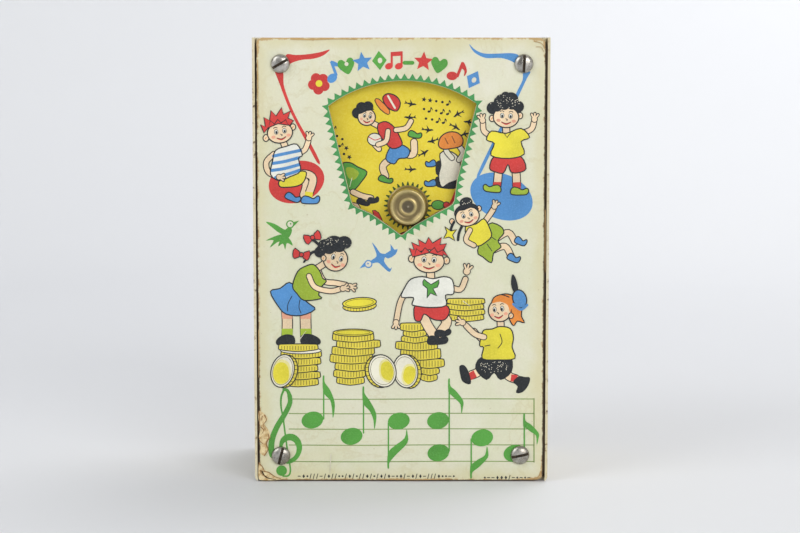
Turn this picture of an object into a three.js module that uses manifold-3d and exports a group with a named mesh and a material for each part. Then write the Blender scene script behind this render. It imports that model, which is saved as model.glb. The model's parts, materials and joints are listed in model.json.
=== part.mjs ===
// Musical coin bank: a folded sheet-steel box with a printed fibreboard front, a fan-shaped window,
// a picture disc turned by a front knob, a pinned drum and steel comb behind it, and a coin slot,
// chute, trip lever and rear coin door.  Millimetres, +Z up, the front faces -Y.
import * as THREE from "three";
import { mergeVertices } from "three/addons/utils/BufferGeometryUtils.js";
import Module from "manifold-3d";

const wasm = await Module();
wasm.setup();

// ---------------------------------------------------------------- driving dimensions
const CASE_HALF = 51.9;        // outside half width of the folded case
const SHEET = 0.9;             // case sheet thickness
const CASE_TOP = 156.8;        // height of the side walls
const CASE_DEPTH = 63.2;       // front edge to rear edge of the side walls
const BEND = 1.8;              // outside radius of the two bottom bends
const PANEL_HALF = 50.6;       // front panel half width
const PANEL_Z0 = 0.3, PANEL_Z1 = 156.78;
const PANEL_T = 3.2;           // front panel thickness
const PANEL_R = 2.4;           // front panel corner radius
const GAP = 0.3;               // gap between neighbouring pieces
const KX = 2.35, KZ = 97.8;    // knob and drum axis, parallel to Y
const DISC_R = 47.6, DISC_Y0 = 4.9, DISC_T = 0.8;
const SHAFT_R = 2.0, BORE_R = 2.08;
const DRUM_R = 11.6, DRUM_Y0 = 8.2, DRUM_Y1 = 19.9, PIN_H = 0.95;
const TRACKS = 8, TRACK_Y0 = 9.15, TRACK_STEP = 1.4;
const PLATE_Y0 = 24.0, PLATE_T = 1.2;      // mechanism plate
const SLOT_Y = 37.2, SLOT_L = 32, SLOT_W = 3.4;
const BACK_Y0 = 62.0;          // back plate, inner face
const POSTS = { ul: [-42.05, 147.72], ur: [42.68, 147.72], ll: [-42.64, 9.32], lr: [42.13, 9.54] };
const SLOT_TILT = { ul: 30, ur: 88, ll: 76, lr: 12 };  // screw slot angles, degrees from horizontal
const LEVER_Y = 30.5, LEVER_Z = 106;
const DOOR_X0 = -28, DOOR_X1 = 28, DOOR_Z0 = 12, DOOR_Z1 = 54;
const OPEN_X = 24, OPEN_Z0 = 16, OPEN_Z1 = 50; // opening in the back plate
const HINGE_X = 30, HINGE_Y = 64.9;
const LATCH_X = -19, LATCH_Z = 33;
const Y_CENTRE = -32.2;        // moves the middle of the overall depth to Y = 0

// ---------------------------------------------------------------- helpers
function solid(geometry) {
  const g = geometry.clone();
  for (const n of Object.keys(g.attributes)) if (n !== "position") g.deleteAttribute(n);
  const m = mergeVertices(g, 1e-4);
  const tri = new Uint32Array(m.index.array);
  const build = (t) => new wasm.Manifold(new wasm.Mesh({ numProp: 3, vertProperties: m.attributes.position.array, triVerts: t }));
  const s = build(tri);
  if (s.volume() > 0) return s;
  for (let i = 0; i < tri.length; i += 3) [tri[i + 1], tri[i + 2]] = [tri[i + 2], tri[i + 1]];
  return build(tri);
}
const box = (x0, x1, y0, y1, z0, z1) => {
  const g = new THREE.BoxGeometry(x1 - x0, y1 - y0, z1 - z0);
  g.translate((x0 + x1) / 2, (y0 + y1) / 2, (z0 + z1) / 2);
  return solid(g);
};
const extrude = (shape, depth, curveSegments = 12) =>
  new THREE.ExtrudeGeometry(shape, { depth, bevelEnabled: false, curveSegments });
// shape drawn in X,Z and thickened along Y
const plateY = (shape, y0, y1, seg) => {
  const g = extrude(shape, y1 - y0, seg);
  g.rotateX(Math.PI / 2);
  g.translate(0, y1, 0);
  return solid(g);
};
// shape drawn in X,Y and thickened along Z
const plateZ = (shape, z0, z1, seg) => {
  const g = extrude(shape, z1 - z0, seg);
  g.translate(0, 0, z0);
  return solid(g);
};
// shape drawn in Y,Z and thickened along X
const plateX = (shape, x0, x1, seg) => {
  const g = extrude(shape, x1 - x0, seg);
  g.applyMatrix4(new THREE.Matrix4().makeBasis(new THREE.Vector3(0, 1, 0), new THREE.Vector3(0, 0, 1), new THREE.Vector3(1, 0, 0)));
  g.translate(x0, 0, 0);
  return solid(g);
};
const cylY = (r, y0, y1, x, z, seg = 32) => {
  const g = new THREE.CylinderGeometry(r, r, y1 - y0, seg);
  g.translate(x, (y0 + y1) / 2, z);
  return solid(g);
};
const cylX = (r, x0, x1, y, z, seg = 20) => {
  const g = new THREE.CylinderGeometry(r, r, x1 - x0, seg);
  g.rotateZ(Math.PI / 2);
  g.translate((x0 + x1) / 2, y, z);
  return solid(g);
};
const cylZ = (r, z0, z1, x, y, seg = 20) => {
  const g = new THREE.CylinderGeometry(r, r, z1 - z0, seg);
  g.rotateX(Math.PI / 2);
  g.translate(x, y, (z0 + z1) / 2);
  return solid(g);
};
// profile of [radius, y] pairs turned about an axis parallel to Y
const turned = (pts, x, z, seg = 32) => {
  const g = new THREE.LatheGeometry(pts.map((p) => new THREE.Vector2(p[0], p[1])), seg);
  g.translate(x, 0, z);
  return solid(g);
};
const poly = (pts) => new THREE.Shape(pts.map((p) => new THREE.Vector2(p[0], p[1])));
function roundRect(x0, x1, y0, y1, r) {
  const s = new THREE.Shape();
  s.moveTo(x0 + r, y0);
  s.lineTo(x1 - r, y0);
  s.absarc(x1 - r, y0 + r, r, -Math.PI / 2, 0);
  s.lineTo(x1, y1 - r);
  s.absarc(x1 - r, y1 - r, r, 0, Math.PI / 2);
  s.lineTo(x0 + r, y1);
  s.absarc(x0 + r, y1 - r, r, Math.PI / 2, Math.PI);
  s.lineTo(x0, y0 + r);
  s.absarc(x0 + r, y0 + r, r, Math.PI, 1.5 * Math.PI);
  return s;
}
const wire = (pts, r, steps, sides = 8) => {
  const sec = new THREE.Shape();
  for (let i = 0; i < sides; i++) {
    const a = (2 * Math.PI * i) / sides;
    if (i) sec.lineTo(r * Math.cos(a), r * Math.sin(a));
    else sec.moveTo(r, 0);
  }
  const path = new THREE.CatmullRomCurve3(pts.map((p) => new THREE.Vector3(...p)));
  return solid(new THREE.ExtrudeGeometry(sec, { steps, extrudePath: path, bevelEnabled: false }));
};

const MAT = {
  printed: new THREE.MeshStandardMaterial({ color: 0xddd8bd, roughness: 0.75, metalness: 0 }),
  enamel: new THREE.MeshStandardMaterial({ color: 0xd9cfa8, roughness: 0.45, metalness: 0 }),
  steel: new THREE.MeshStandardMaterial({ color: 0x9a9a98, roughness: 0.4, metalness: 1 }),
  nickel: new THREE.MeshStandardMaterial({ color: 0xa8a6a0, roughness: 0.35, metalness: 1 }),
  brass: new THREE.MeshStandardMaterial({ color: 0xb79a55, roughness: 0.4, metalness: 1 }),
  knob: new THREE.MeshStandardMaterial({ color: 0xa89a66, roughness: 0.4, metalness: 0.9 }),
  disc: new THREE.MeshStandardMaterial({ color: 0xe4cd32, roughness: 0.6, metalness: 0 }),
  wood: new THREE.MeshStandardMaterial({ color: 0xb58d5c, roughness: 0.8, metalness: 0 }),
  spring: new THREE.MeshStandardMaterial({ color: 0x77787c, roughness: 0.35, metalness: 1 }),
};

const bank = new THREE.Group();
bank.position.y = Y_CENTRE;
function add(name, s, material, parent = bank) {
  const mesh = s.getMesh();
  const n = mesh.numProp;
  const v = new Float32Array((mesh.vertProperties.length / n) * 3);
  for (let i = 0; i < v.length / 3; i++) v.set(mesh.vertProperties.subarray(i * n, i * n + 3), i * 3);
  const g = new THREE.BufferGeometry();
  g.setAttribute("position", new THREE.BufferAttribute(v, 3));
  g.setIndex(new THREE.BufferAttribute(new Uint32Array(mesh.triVerts), 1));
  g.computeVertexNormals();
  const m = new THREE.Mesh(g, material);
  m.name = name;
  parent.add(m);
  return m;
}

// ---------------------------------------------------------------- case
const caseGroup = new THREE.Group();
bank.add(caseGroup);
{
  // one folded strip makes the two sides and the floor
  const o = CASE_HALF, i = CASE_HALF - SHEET, ri = BEND - SHEET, s = new THREE.Shape();
  s.moveTo(-o, CASE_TOP);
  s.lineTo(-o, BEND);
  s.absarc(-o + BEND, BEND, BEND, Math.PI, 1.5 * Math.PI);
  s.lineTo(o - BEND, 0);
  s.absarc(o - BEND, BEND, BEND, -Math.PI / 2, 0);
  s.lineTo(o, CASE_TOP);
  s.lineTo(i, CASE_TOP);
  s.lineTo(i, BEND);
  s.absarc(i - ri, BEND, ri, 0, -Math.PI / 2, true);
  s.lineTo(-i + ri, SHEET);
  s.absarc(-i + ri, BEND, ri, -Math.PI / 2, -Math.PI, true);
  s.lineTo(-i, CASE_TOP);
  let wrap = plateY(s, 0, CASE_DEPTH, 6);
  // the floor stops behind the front panel
  wrap = wrap.subtract(box(-PANEL_HALF - GAP, PANEL_HALF + GAP, -1, PANEL_T + GAP, -1, 4));
  add("case_wrap", wrap, MAT.enamel, caseGroup);
}
{
  // top plate with folded side flanges and the coin slot
  const x = CASE_HALF - SHEET - GAP, z1 = CASE_TOP - GAP, z0 = z1 - SHEET, y0 = PANEL_T + GAP, y1 = BACK_Y0 + SHEET;
  let top = box(-x, x, y0, y1, z0, z1);
  top = top.add(box(-x, -x + SHEET, y0, BACK_Y0 - GAP, z0 - 8, z0 + 0.2)).add(box(x - SHEET, x, y0, BACK_Y0 - GAP, z0 - 8, z0 + 0.2));
  top = top.subtract(plateZ(roundRect(-SLOT_L / 2, SLOT_L / 2, SLOT_Y - SLOT_W / 2, SLOT_Y + SLOT_W / 2, 1.2), z0 - 1, z1 + 1, 4));
  add("top_plate", top, MAT.enamel, caseGroup);
}
{
  const x = CASE_HALF - SHEET - GAP;
  let back = plateY(roundRect(-x, x, SHEET + GAP, CASE_TOP - SHEET - 2 * GAP, 1.2), BACK_Y0, BACK_Y0 + SHEET, 4);
  back = back.subtract(plateY(roundRect(-OPEN_X, OPEN_X, OPEN_Z0, OPEN_Z1, 3), BACK_Y0 - 1, BACK_Y0 + SHEET + 1, 5));
  for (const [px, pz] of Object.values(POSTS)) back = back.subtract(cylY(2.0, BACK_Y0 - 1, BACK_Y0 + SHEET + 1, px, pz, 14));
  add("back_plate", back, MAT.enamel, caseGroup);
}

// ---------------------------------------------------------------- front panel and its window
{
  const s = roundRect(-PANEL_HALF, PANEL_HALF, PANEL_Z0, PANEL_Z1, PANEL_R);
  const w = new THREE.Path();
  const CX = 0.99, CZ = 97.74, R = 44.05; // top arc of the window
  const a0 = Math.atan2(132.9 - CZ, -25.4 - CX), a1 = Math.atan2(133.8 - CZ, 26.3 - CX);
  const pts = [];
  for (let k = 0; k <= 28; k++) {
    const a = a0 + ((a1 - a0) * k) / 28;
    pts.push([CX + R * Math.cos(a), CZ + R * Math.sin(a)]);
  }
  pts.push([19.55, 107.2], [18.62, 99.9], [18.0, 98.75], [16.8, 97.85], [12.55, 95.62], [4.85, 91.3], [1.5, 88.8], [0.75, 88.15], [0.15, 87.85], [-0.5, 88.1], [-3.57, 90.45], [-10.58, 95.4], [-15.4, 97.55], [-16.8, 98.45], [-17.45, 99.7]);
  w.moveTo(...pts[0]);
  for (const p of pts.slice(1)) w.lineTo(...p);
  w.closePath();
  s.holes.push(w);
  let panel = plateY(s, 0, PANEL_T, 6);
  for (const [px, pz] of Object.values(POSTS)) panel = panel.subtract(cylY(2.0, -1, PANEL_T + 1, px, pz, 14));
  add("front_panel", panel, MAT.printed, caseGroup);
}

// ---------------------------------------------------------------- posts and slotted round-head screws
for (const [k, [px, pz]] of Object.entries(POSTS)) {
  const y0 = PANEL_T + GAP, y1 = BACK_Y0 - GAP;
  let post = cylY(4.75, y0, y1, px, pz, 16);
  post = post.subtract(cylY(2.0, y0 - 1, y0 + 13, px, pz, 12)).subtract(cylY(2.0, y1 - 15, y1 + 1, px, pz, 12));
  add("corner_post_" + k, post, MAT.wood, caseGroup);

  const dome = [];
  const HR = 3.3, HH = 1.9;
  for (let j = 0; j <= 4; j++) {
    const t = (j / 4) * Math.PI / 2;
    dome.push([HR * Math.sin(t), -0.1 - HH * Math.pow(Math.cos(t), 0.8)]);
  }
  dome[0][0] = 0;
  dome[4] = [HR, -0.35];
  let screw = turned([...dome, [HR, -0.1], [1.7, -0.1], [1.7, 12], [0, 14.5]], 0, 0, 20);
  const cut = new THREE.BoxGeometry(8, 1.3, 0.95);
  cut.translate(0, -2.0, 0);
  screw = screw.subtract(solid(cut));
  const f = add("panel_screw_" + k, screw, MAT.nickel, caseGroup);
  f.position.set(px, 0, pz);
  f.rotation.y = -THREE.MathUtils.degToRad(SLOT_TILT[k]);
  const b = add("back_screw_" + k, screw, MAT.nickel, caseGroup);
  b.position.set(px, BACK_Y0 + SHEET, pz);
  b.rotation.set(0, THREE.MathUtils.degToRad(SLOT_TILT[k] * 1.7 + 20), Math.PI, "ZYX");
}

// ---------------------------------------------------------------- knob, shaft, picture disc and drum
const train = new THREE.Group();
bank.add(train);
{
  const knob = turned([
    [2.06, -0.6], [2.7, -0.95], [4.1, -0.1], [5.4, -1.15], [6.15, -0.85], [6.38, -0.2],
    [6.38, 3.8], [7.2, 4.15], [7.2, 4.65], [2.06, 4.65], [2.06, -0.6],
  ], KX, KZ, 32);
  add("knob", knob, MAT.knob, train);
  const shaft = turned([[0, 0.1], [1.2, 0.0], [1.7, 0.15], [SHAFT_R, 0.5], [SHAFT_R, 30.6], [SHAFT_R - 0.3, 31], [0, 31]], KX, KZ, 32);
  add("knob_shaft", shaft, MAT.steel, train);
  const disc = cylY(DISC_R, DISC_Y0, DISC_Y0 + DISC_T, KX, KZ, 72).subtract(cylY(2.06, DISC_Y0 - 1, DISC_Y0 + 2, KX, KZ, 32));
  add("picture_disc", disc, MAT.disc, train);
  const hub = turned([[2.06, 5.9], [9, 5.9], [9, 6.6], [5, 6.8], [5, 8.0], [2.06, 8.0], [2.06, 5.9]], KX, KZ, 32);
  add("disc_hub", hub, MAT.brass, train);
  // drum with a tune pinned on it
  let drum = cylY(DRUM_R, DRUM_Y0, DRUM_Y1, 0, 0, 48);
  const steps = 24, pins = [];
  for (let k = 0; k < 40; k++) {
    const track = (k * 5 + Math.floor(k / 3) * 2) % TRACKS, step = (k * 7 + track) % steps;
    if (!pins.some(([t, q]) => Math.abs(t - track) < 2 && Math.abs(q - step) < 1)) pins.push([track, step]);
  }
  for (const [t, q] of pins) {
    const g = new THREE.BoxGeometry(PIN_H + 0.6, 0.7, 0.6);
    g.translate(DRUM_R + PIN_H / 2 - 0.3, TRACK_Y0 + t * TRACK_STEP, 0);
    g.rotateY((2 * Math.PI * (q + 0.5)) / steps);
    drum = drum.add(solid(g));
  }
  drum = drum.subtract(cylY(2.06, DRUM_Y0 - 1, DRUM_Y1 + 1, 0, 0, 32));
  const dm = add("melody_drum", drum, MAT.brass, train);
  dm.position.set(KX, 0, KZ);
  // saw-toothed wheel that the leaf spring clicks on
  const teeth = 20, saw = [];
  for (let k = 0; k < teeth; k++) {
    const a = (2 * Math.PI * k) / teeth, b = (2 * Math.PI * (k + 0.88)) / teeth;
    saw.push([KX + 7.4 * Math.cos(a), KZ + 7.4 * Math.sin(a)], [KX + 8.5 * Math.cos(b), KZ + 8.5 * Math.sin(b)]);
  }
  const click = plateY(poly(saw), 20.2, 22.4).subtract(cylY(2.06, 19, 24, KX, KZ, 32));
  add("click_wheel", click, MAT.brass, train);
  const collar = cylY(4, 27.4, 30, KX, KZ, 24).subtract(cylY(2.06, 26, 32, KX, KZ, 32));
  add("shaft_collar", collar, MAT.brass, train);
}

// ---------------------------------------------------------------- mechanism plate, bush, comb
const works = new THREE.Group();
bank.add(works);
{
  const x = CASE_HALF - SHEET - GAP, y1 = PLATE_Y0 + PLATE_T;
  let plate = plateY(roundRect(-x, x, 62, 140, 3), PLATE_Y0, y1, 4);
  plate = plate.add(box(-x, -x + PLATE_T, PLATE_Y0 + 0.2, y1 + 9, 70, 132)).add(box(x - PLATE_T, x, PLATE_Y0 + 0.2, y1 + 9, 70, 132));
  plate = plate.subtract(cylY(3.8, 23, 27, KX, KZ, 28));
  plate = plate.subtract(cylY(1.25, 23, 27, 38.5, 93.8, 16));
  for (const px of [-14, 14]) plate = plate.subtract(cylY(1.25, 23, 27, px, 112.5, 16));
  add("mechanism_plate", plate, MAT.steel, works);
  const bush = turned([[BORE_R, 22.8], [5.2, 22.8], [5.2, 23.7], [3.5, 23.7], [3.5, 27.0], [BORE_R, 27.0], [BORE_R, 22.8]], KX, KZ, 32);
  add("shaft_bush", bush, MAT.brass, works);
  const tip = KX + DRUM_R + PIN_H + 0.4, rows = [];
  for (let k = 0; k < TRACKS; k++) {
    const c = TRACK_Y0 + k * TRACK_STEP, root = 31 - k * 0.9;
    rows.push([root, c - 0.5], [tip, c - 0.42], [tip, c + 0.42], [root, c + 0.5]);
  }
  const comb = poly([[44, 8.4], ...rows, [44, 19.8]]);
  let cs = plateZ(comb, 97.4, 98.2);
  for (const y of [11.2, 17.0]) cs = cs.subtract(cylZ(1.25, 97, 99, 39.5, y, 16));
  add("music_comb", cs, MAT.spring, works);
  let base = box(33.5, 44.5, 8.4, PLATE_Y0 - GAP, 90.5, 97.1);
  for (const y of [11.2, 17.0]) base = base.subtract(cylZ(1.25, 92.5, 98, 39.5, y, 16));
  base = base.subtract(cylY(1.25, 18.5, 25, 38.5, 93.8, 16));
  add("comb_base", base, MAT.steel, works);
  ["front", "rear"].forEach((n, k) => {
    const y = [11.2, 17.0][k];
    let s = cylZ(1.9, 98.3, 99.5, 39.5, y, 20).add(cylZ(1.0, 93, 98.4, 39.5, y, 12));
    const c = new THREE.BoxGeometry(5, 0.5, 0.8);
    c.rotateZ(0.6 + k);
    c.translate(39.5, y, 99.4);
    add("comb_screw_" + n, s.subtract(solid(c)), MAT.steel, works);
  });
  let bs = cylY(2.1, 25.3, 26.6, 38.5, 93.8, 20).add(cylY(1.0, 19, 25.4, 38.5, 93.8, 12));
  bs = bs.subtract(box(36, 41, 26.0, 27, 93.5, 94.1));
  add("base_screw", bs, MAT.steel, works);
  // leaf spring for the click wheel on its block
  let block = box(-19, -12.5, 19.9, PLATE_Y0 - GAP, 103.6, 107.4);
  block = block.subtract(cylZ(1.15, 104.5, 108, -15.8, 21.6, 16));
  add("spring_block", block, MAT.steel, works);
  const leaf = poly([[-19, 107.7], [-7.2, 107.7], [-4.2, 105.35], [-3.35, 104.7], [-3.0, 105.0], [-3.9, 105.75], [-7.0, 108.15], [-19, 108.15]]);
  let lf = plateY(leaf, 20.3, 22.9).subtract(cylZ(1.15, 107, 109, -15.8, 21.6, 16));
  add("click_spring", lf, MAT.spring, works);
  let ls = cylZ(1.7, 108.25, 109.4, -15.8, 21.6, 20).add(cylZ(0.95, 105, 108.3, -15.8, 21.6, 12));
  ls = ls.subtract(box(-18, -13.6, 21.35, 21.85, 108.95, 110));
  add("click_spring_screw", ls, MAT.steel, works);
}

// ---------------------------------------------------------------- coin chute and trip lever
{
  const z1 = CASE_TOP - GAP - SHEET - GAP;
  let chute = plateZ(roundRect(-17.9, 17.9, SLOT_Y - 3.0, SLOT_Y + 3.0, 1), 113, z1, 3);
  chute = chute.add(box(-22, 22, SLOT_Y - 6, SLOT_Y + 6, z1 - 0.8, z1));
  chute = chute.subtract(box(-17.2, 17.2, SLOT_Y - 2.3, SLOT_Y + 2.3, 112, z1 + 1));
  add("coin_chute", chute, MAT.steel, works);

  const px = 18.6, y = LEVER_Y, z = LEVER_Z;
  let br = box(-px - 1, px + 1, 25.5, 26.4, 102.6, 115.5);
  for (const s of [-1, 1]) {
    const ear = new THREE.Shape();
    ear.moveTo(25.6, 102.8);
    ear.lineTo(y, 102.8);
    ear.absarc(y, z, 3.2, -Math.PI / 2, Math.PI / 2);
    ear.lineTo(25.6, 109.2);
    br = br.add(plateX(ear, s > 0 ? px : -px - 1, s > 0 ? px + 1 : -px, 8));
  }
  br = br.subtract(cylX(1.3, -px - 3, px + 3, y, z, 20));
  for (const bx of [-14, 14]) br = br.subtract(cylY(1.25, 25, 27, bx, 112.5, 16));
  add("lever_bracket", br, MAT.steel, works);
  for (const [n, bx] of [["left", -14], ["right", 14]]) {
    add("bracket_rivet_" + n, turned([[0, 22.9], [1.5, 23.2], [2.0, 23.8], [1.0, 23.8], [1.0, 26.6], [2.0, 26.6], [1.5, 27.3], [0, 27.6]], bx, 112.5, 16), MAT.steel, works);
  }
  const pin = cylX(1.2, -px - 1.8, px + 1.8, y, z, 20).add(cylX(1.9, px + 1.3, px + 2.2, y, z, 16));
  add("lever_pin", pin, MAT.steel, works);
}
const lever = new THREE.Group();
bank.add(lever);
{
  const y = LEVER_Y, z = LEVER_Z;
  let lv = cylX(2.4, -18.2, 9.8, y, z, 24);
  // paddle under the chute, its turned-up front lip and the finger that stops it on the plate
  lv = lv.add(box(-15, 15, y + 1.2, y + 13.5, z + 1.1, z + 1.9)).add(box(-15, 15, y + 12.7, y + 13.5, z + 1.1, z + 3.2));
  lv = lv.add(box(-3, 3, y - 0.9, y - 0.1, z + 1.5, z + 6.5)).add(box(-3, 3, y - 3.7, y - 0.1, z + 5.7, z + 6.5));
  lv = lv.subtract(cylX(1.3, -20, 12, y, z, 20));
  // room for the spring coil
  lv = lv.subtract(box(9.8, 18, y - 4, y + 3.4, z - 4, z + 4));
  add("coin_lever", lv, MAT.steel, lever);
  const pts = [[10.8, y - 2.3, z + 7.2], [10.8, y - 2.3, z + 3.5]];
  const turns = 5;
  for (let k = 0; k <= turns * 8; k++) {
    const a = Math.PI - (k / 8) * 2 * Math.PI;
    pts.push([10.9 + (k / 8) * 1.15, y + 2.3 * Math.cos(a), z + 2.3 * Math.sin(a) * -1]);
  }
  pts.push([17.2, y - 2.2, z - 0.2]);
  pts.splice(2, 1);
  add("lever_spring", wire(pts, 0.3, 64, 6), MAT.spring, lever);
}

// ---------------------------------------------------------------- rear coin door, hinge and latch
{
  const y = HINGE_Y;
  let leaf = plateY(roundRect(31.9, 39.5, 17, 49, 1.5), BACK_Y0 + SHEET + GAP, BACK_Y0 + SHEET + GAP + 0.9, 4);
  for (const [a, b] of [[18, 24], [42, 48]])
    leaf = leaf.add(cylZ(1.5, a, b, HINGE_X, y, 20)).add(box(HINGE_X, 32.4, y - 1.5, y - 0.6, a, b));
  leaf = leaf.subtract(cylZ(0.9, 10, 60, HINGE_X, y, 20));
  for (const z of [22, 44]) leaf = leaf.subtract(cylY(1.2, 60, 66, 36, z, 16));
  add("door_hinge_leaf", leaf, MAT.steel, caseGroup);
  add("door_hinge_pin", cylZ(0.8, 17.2, 48.8, HINGE_X, y, 20), MAT.steel, caseGroup);
  for (const [n, z] of [["lower", 22], ["upper", 44]])
    add("leaf_rivet_" + n, turned([[0, 65.5], [1.4, 65.2], [2.0, 64.5], [2.0, 64.25], [0.9, 64.25], [0.9, 63.1], [0, 63.1]].reverse(), 36, z, 16), MAT.steel, caseGroup);
}
const door = new THREE.Group();
bank.add(door);
{
  const y0 = BACK_Y0 + SHEET + GAP, y = HINGE_Y;
  let d = plateY(roundRect(DOOR_X0, DOOR_X1, DOOR_Z0, DOOR_Z1, 3), y0, y0 + 0.9, 4);
  d = d.add(cylZ(1.5, 24.4, 41.6, HINGE_X, y, 20)).add(box(27, HINGE_X, y - 1.5, y - 0.8, 24.4, 41.6));
  d = d.subtract(cylZ(0.9, 10, 60, HINGE_X, y, 20)).subtract(cylY(1.68, 60, 68, LATCH_X, LATCH_Z, 24));
  add("coin_door", d, MAT.enamel, door);
  // turn latch: wing outside, stem through the door, tongue inside
  let l = cylY(1.6, 60.9, 65.0, 0, 0, 24).add(plateY(roundRect(-1.9, 1.9, -9.2, 1.9, 1.6), 60.9, 61.7, 4));
  l = l.add(plateY(roundRect(-1.7, 1.7, -6, 6, 1.6), 64.4, 65.6, 4));
  const lm = add("door_latch", l, MAT.nickel, door);
  lm.position.set(LATCH_X, 0, LATCH_Z);
}

export default bank;
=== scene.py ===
import json
import math
import random

import bmesh
import bpy
from mathutils import Matrix, Vector
from mathutils.geometry import tessellate_polygon
from mathutils import noise as mnoise

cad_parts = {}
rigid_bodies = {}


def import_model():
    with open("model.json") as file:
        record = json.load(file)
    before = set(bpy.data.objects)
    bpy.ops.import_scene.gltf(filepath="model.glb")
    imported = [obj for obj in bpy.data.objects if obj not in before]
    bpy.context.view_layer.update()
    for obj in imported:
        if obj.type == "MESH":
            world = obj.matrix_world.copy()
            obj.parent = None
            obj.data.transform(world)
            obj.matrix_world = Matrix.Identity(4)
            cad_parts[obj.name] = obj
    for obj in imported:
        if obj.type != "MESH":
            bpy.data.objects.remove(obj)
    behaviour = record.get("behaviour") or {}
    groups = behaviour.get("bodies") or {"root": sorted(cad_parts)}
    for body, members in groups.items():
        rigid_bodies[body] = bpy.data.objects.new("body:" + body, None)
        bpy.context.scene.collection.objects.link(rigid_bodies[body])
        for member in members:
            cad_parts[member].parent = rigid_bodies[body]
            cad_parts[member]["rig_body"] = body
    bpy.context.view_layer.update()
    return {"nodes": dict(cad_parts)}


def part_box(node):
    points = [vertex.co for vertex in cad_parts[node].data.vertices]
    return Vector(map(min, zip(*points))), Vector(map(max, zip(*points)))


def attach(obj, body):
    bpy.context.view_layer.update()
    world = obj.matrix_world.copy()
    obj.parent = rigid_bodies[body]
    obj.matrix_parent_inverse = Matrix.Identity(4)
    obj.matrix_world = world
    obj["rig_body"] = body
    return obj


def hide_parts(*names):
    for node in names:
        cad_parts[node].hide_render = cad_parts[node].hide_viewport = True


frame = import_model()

NODES = frame["nodes"]
MM = 0.001
scene = bpy.context.scene

# ------------------------------------------------------------------ camera
FOCAL = 2121.37              # in units of the 800 wide frame
TILT = math.radians(6.15)
CAM = Vector((-0.000415, -0.77339, 0.15663))
cam_data = bpy.data.cameras.new("studio_camera")
cam_data.lens = FOCAL / 800 * 36
cam_data.sensor_width = 36
cam_data.sensor_fit = "HORIZONTAL"
cam_data.clip_start = 0.02
cam_data.clip_end = 20
cam = bpy.data.objects.new("studio_camera", cam_data)
cam.location = CAM
cam.rotation_euler = (math.pi / 2 - TILT, 0, 0)
scene.collection.objects.link(cam)
scene.camera = cam
scene.view_settings.view_transform = "Standard"
scene.view_settings.look = "None"

PANEL_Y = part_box("front_panel")[0].y          # front face of the printed board
DISC_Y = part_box("picture_disc")[0].y          # front face of the picture disc


def sheet_point(u, v, y=PANEL_Y):
    """Artwork sheet coordinates (800 x 533) to X, Z in metres on the plane Y = y."""
    du, dv = (u - 400) / FOCAL, (266.5 - v) / FOCAL
    c, s = math.cos(TILT), math.sin(TILT)
    t = (y - CAM.y) / (c + dv * s)
    return CAM.x + t * du, CAM.z + t * (dv * c - s)


# ------------------------------------------------------------------ node materials
def lin(rgb):
    out = []
    for c in rgb:
        c = c / 255
        out.append(c / 12.92 if c <= 0.04045 else ((c + 0.055) / 1.055) ** 2.4)
    return (out[0], out[1], out[2], 1.0)


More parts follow.
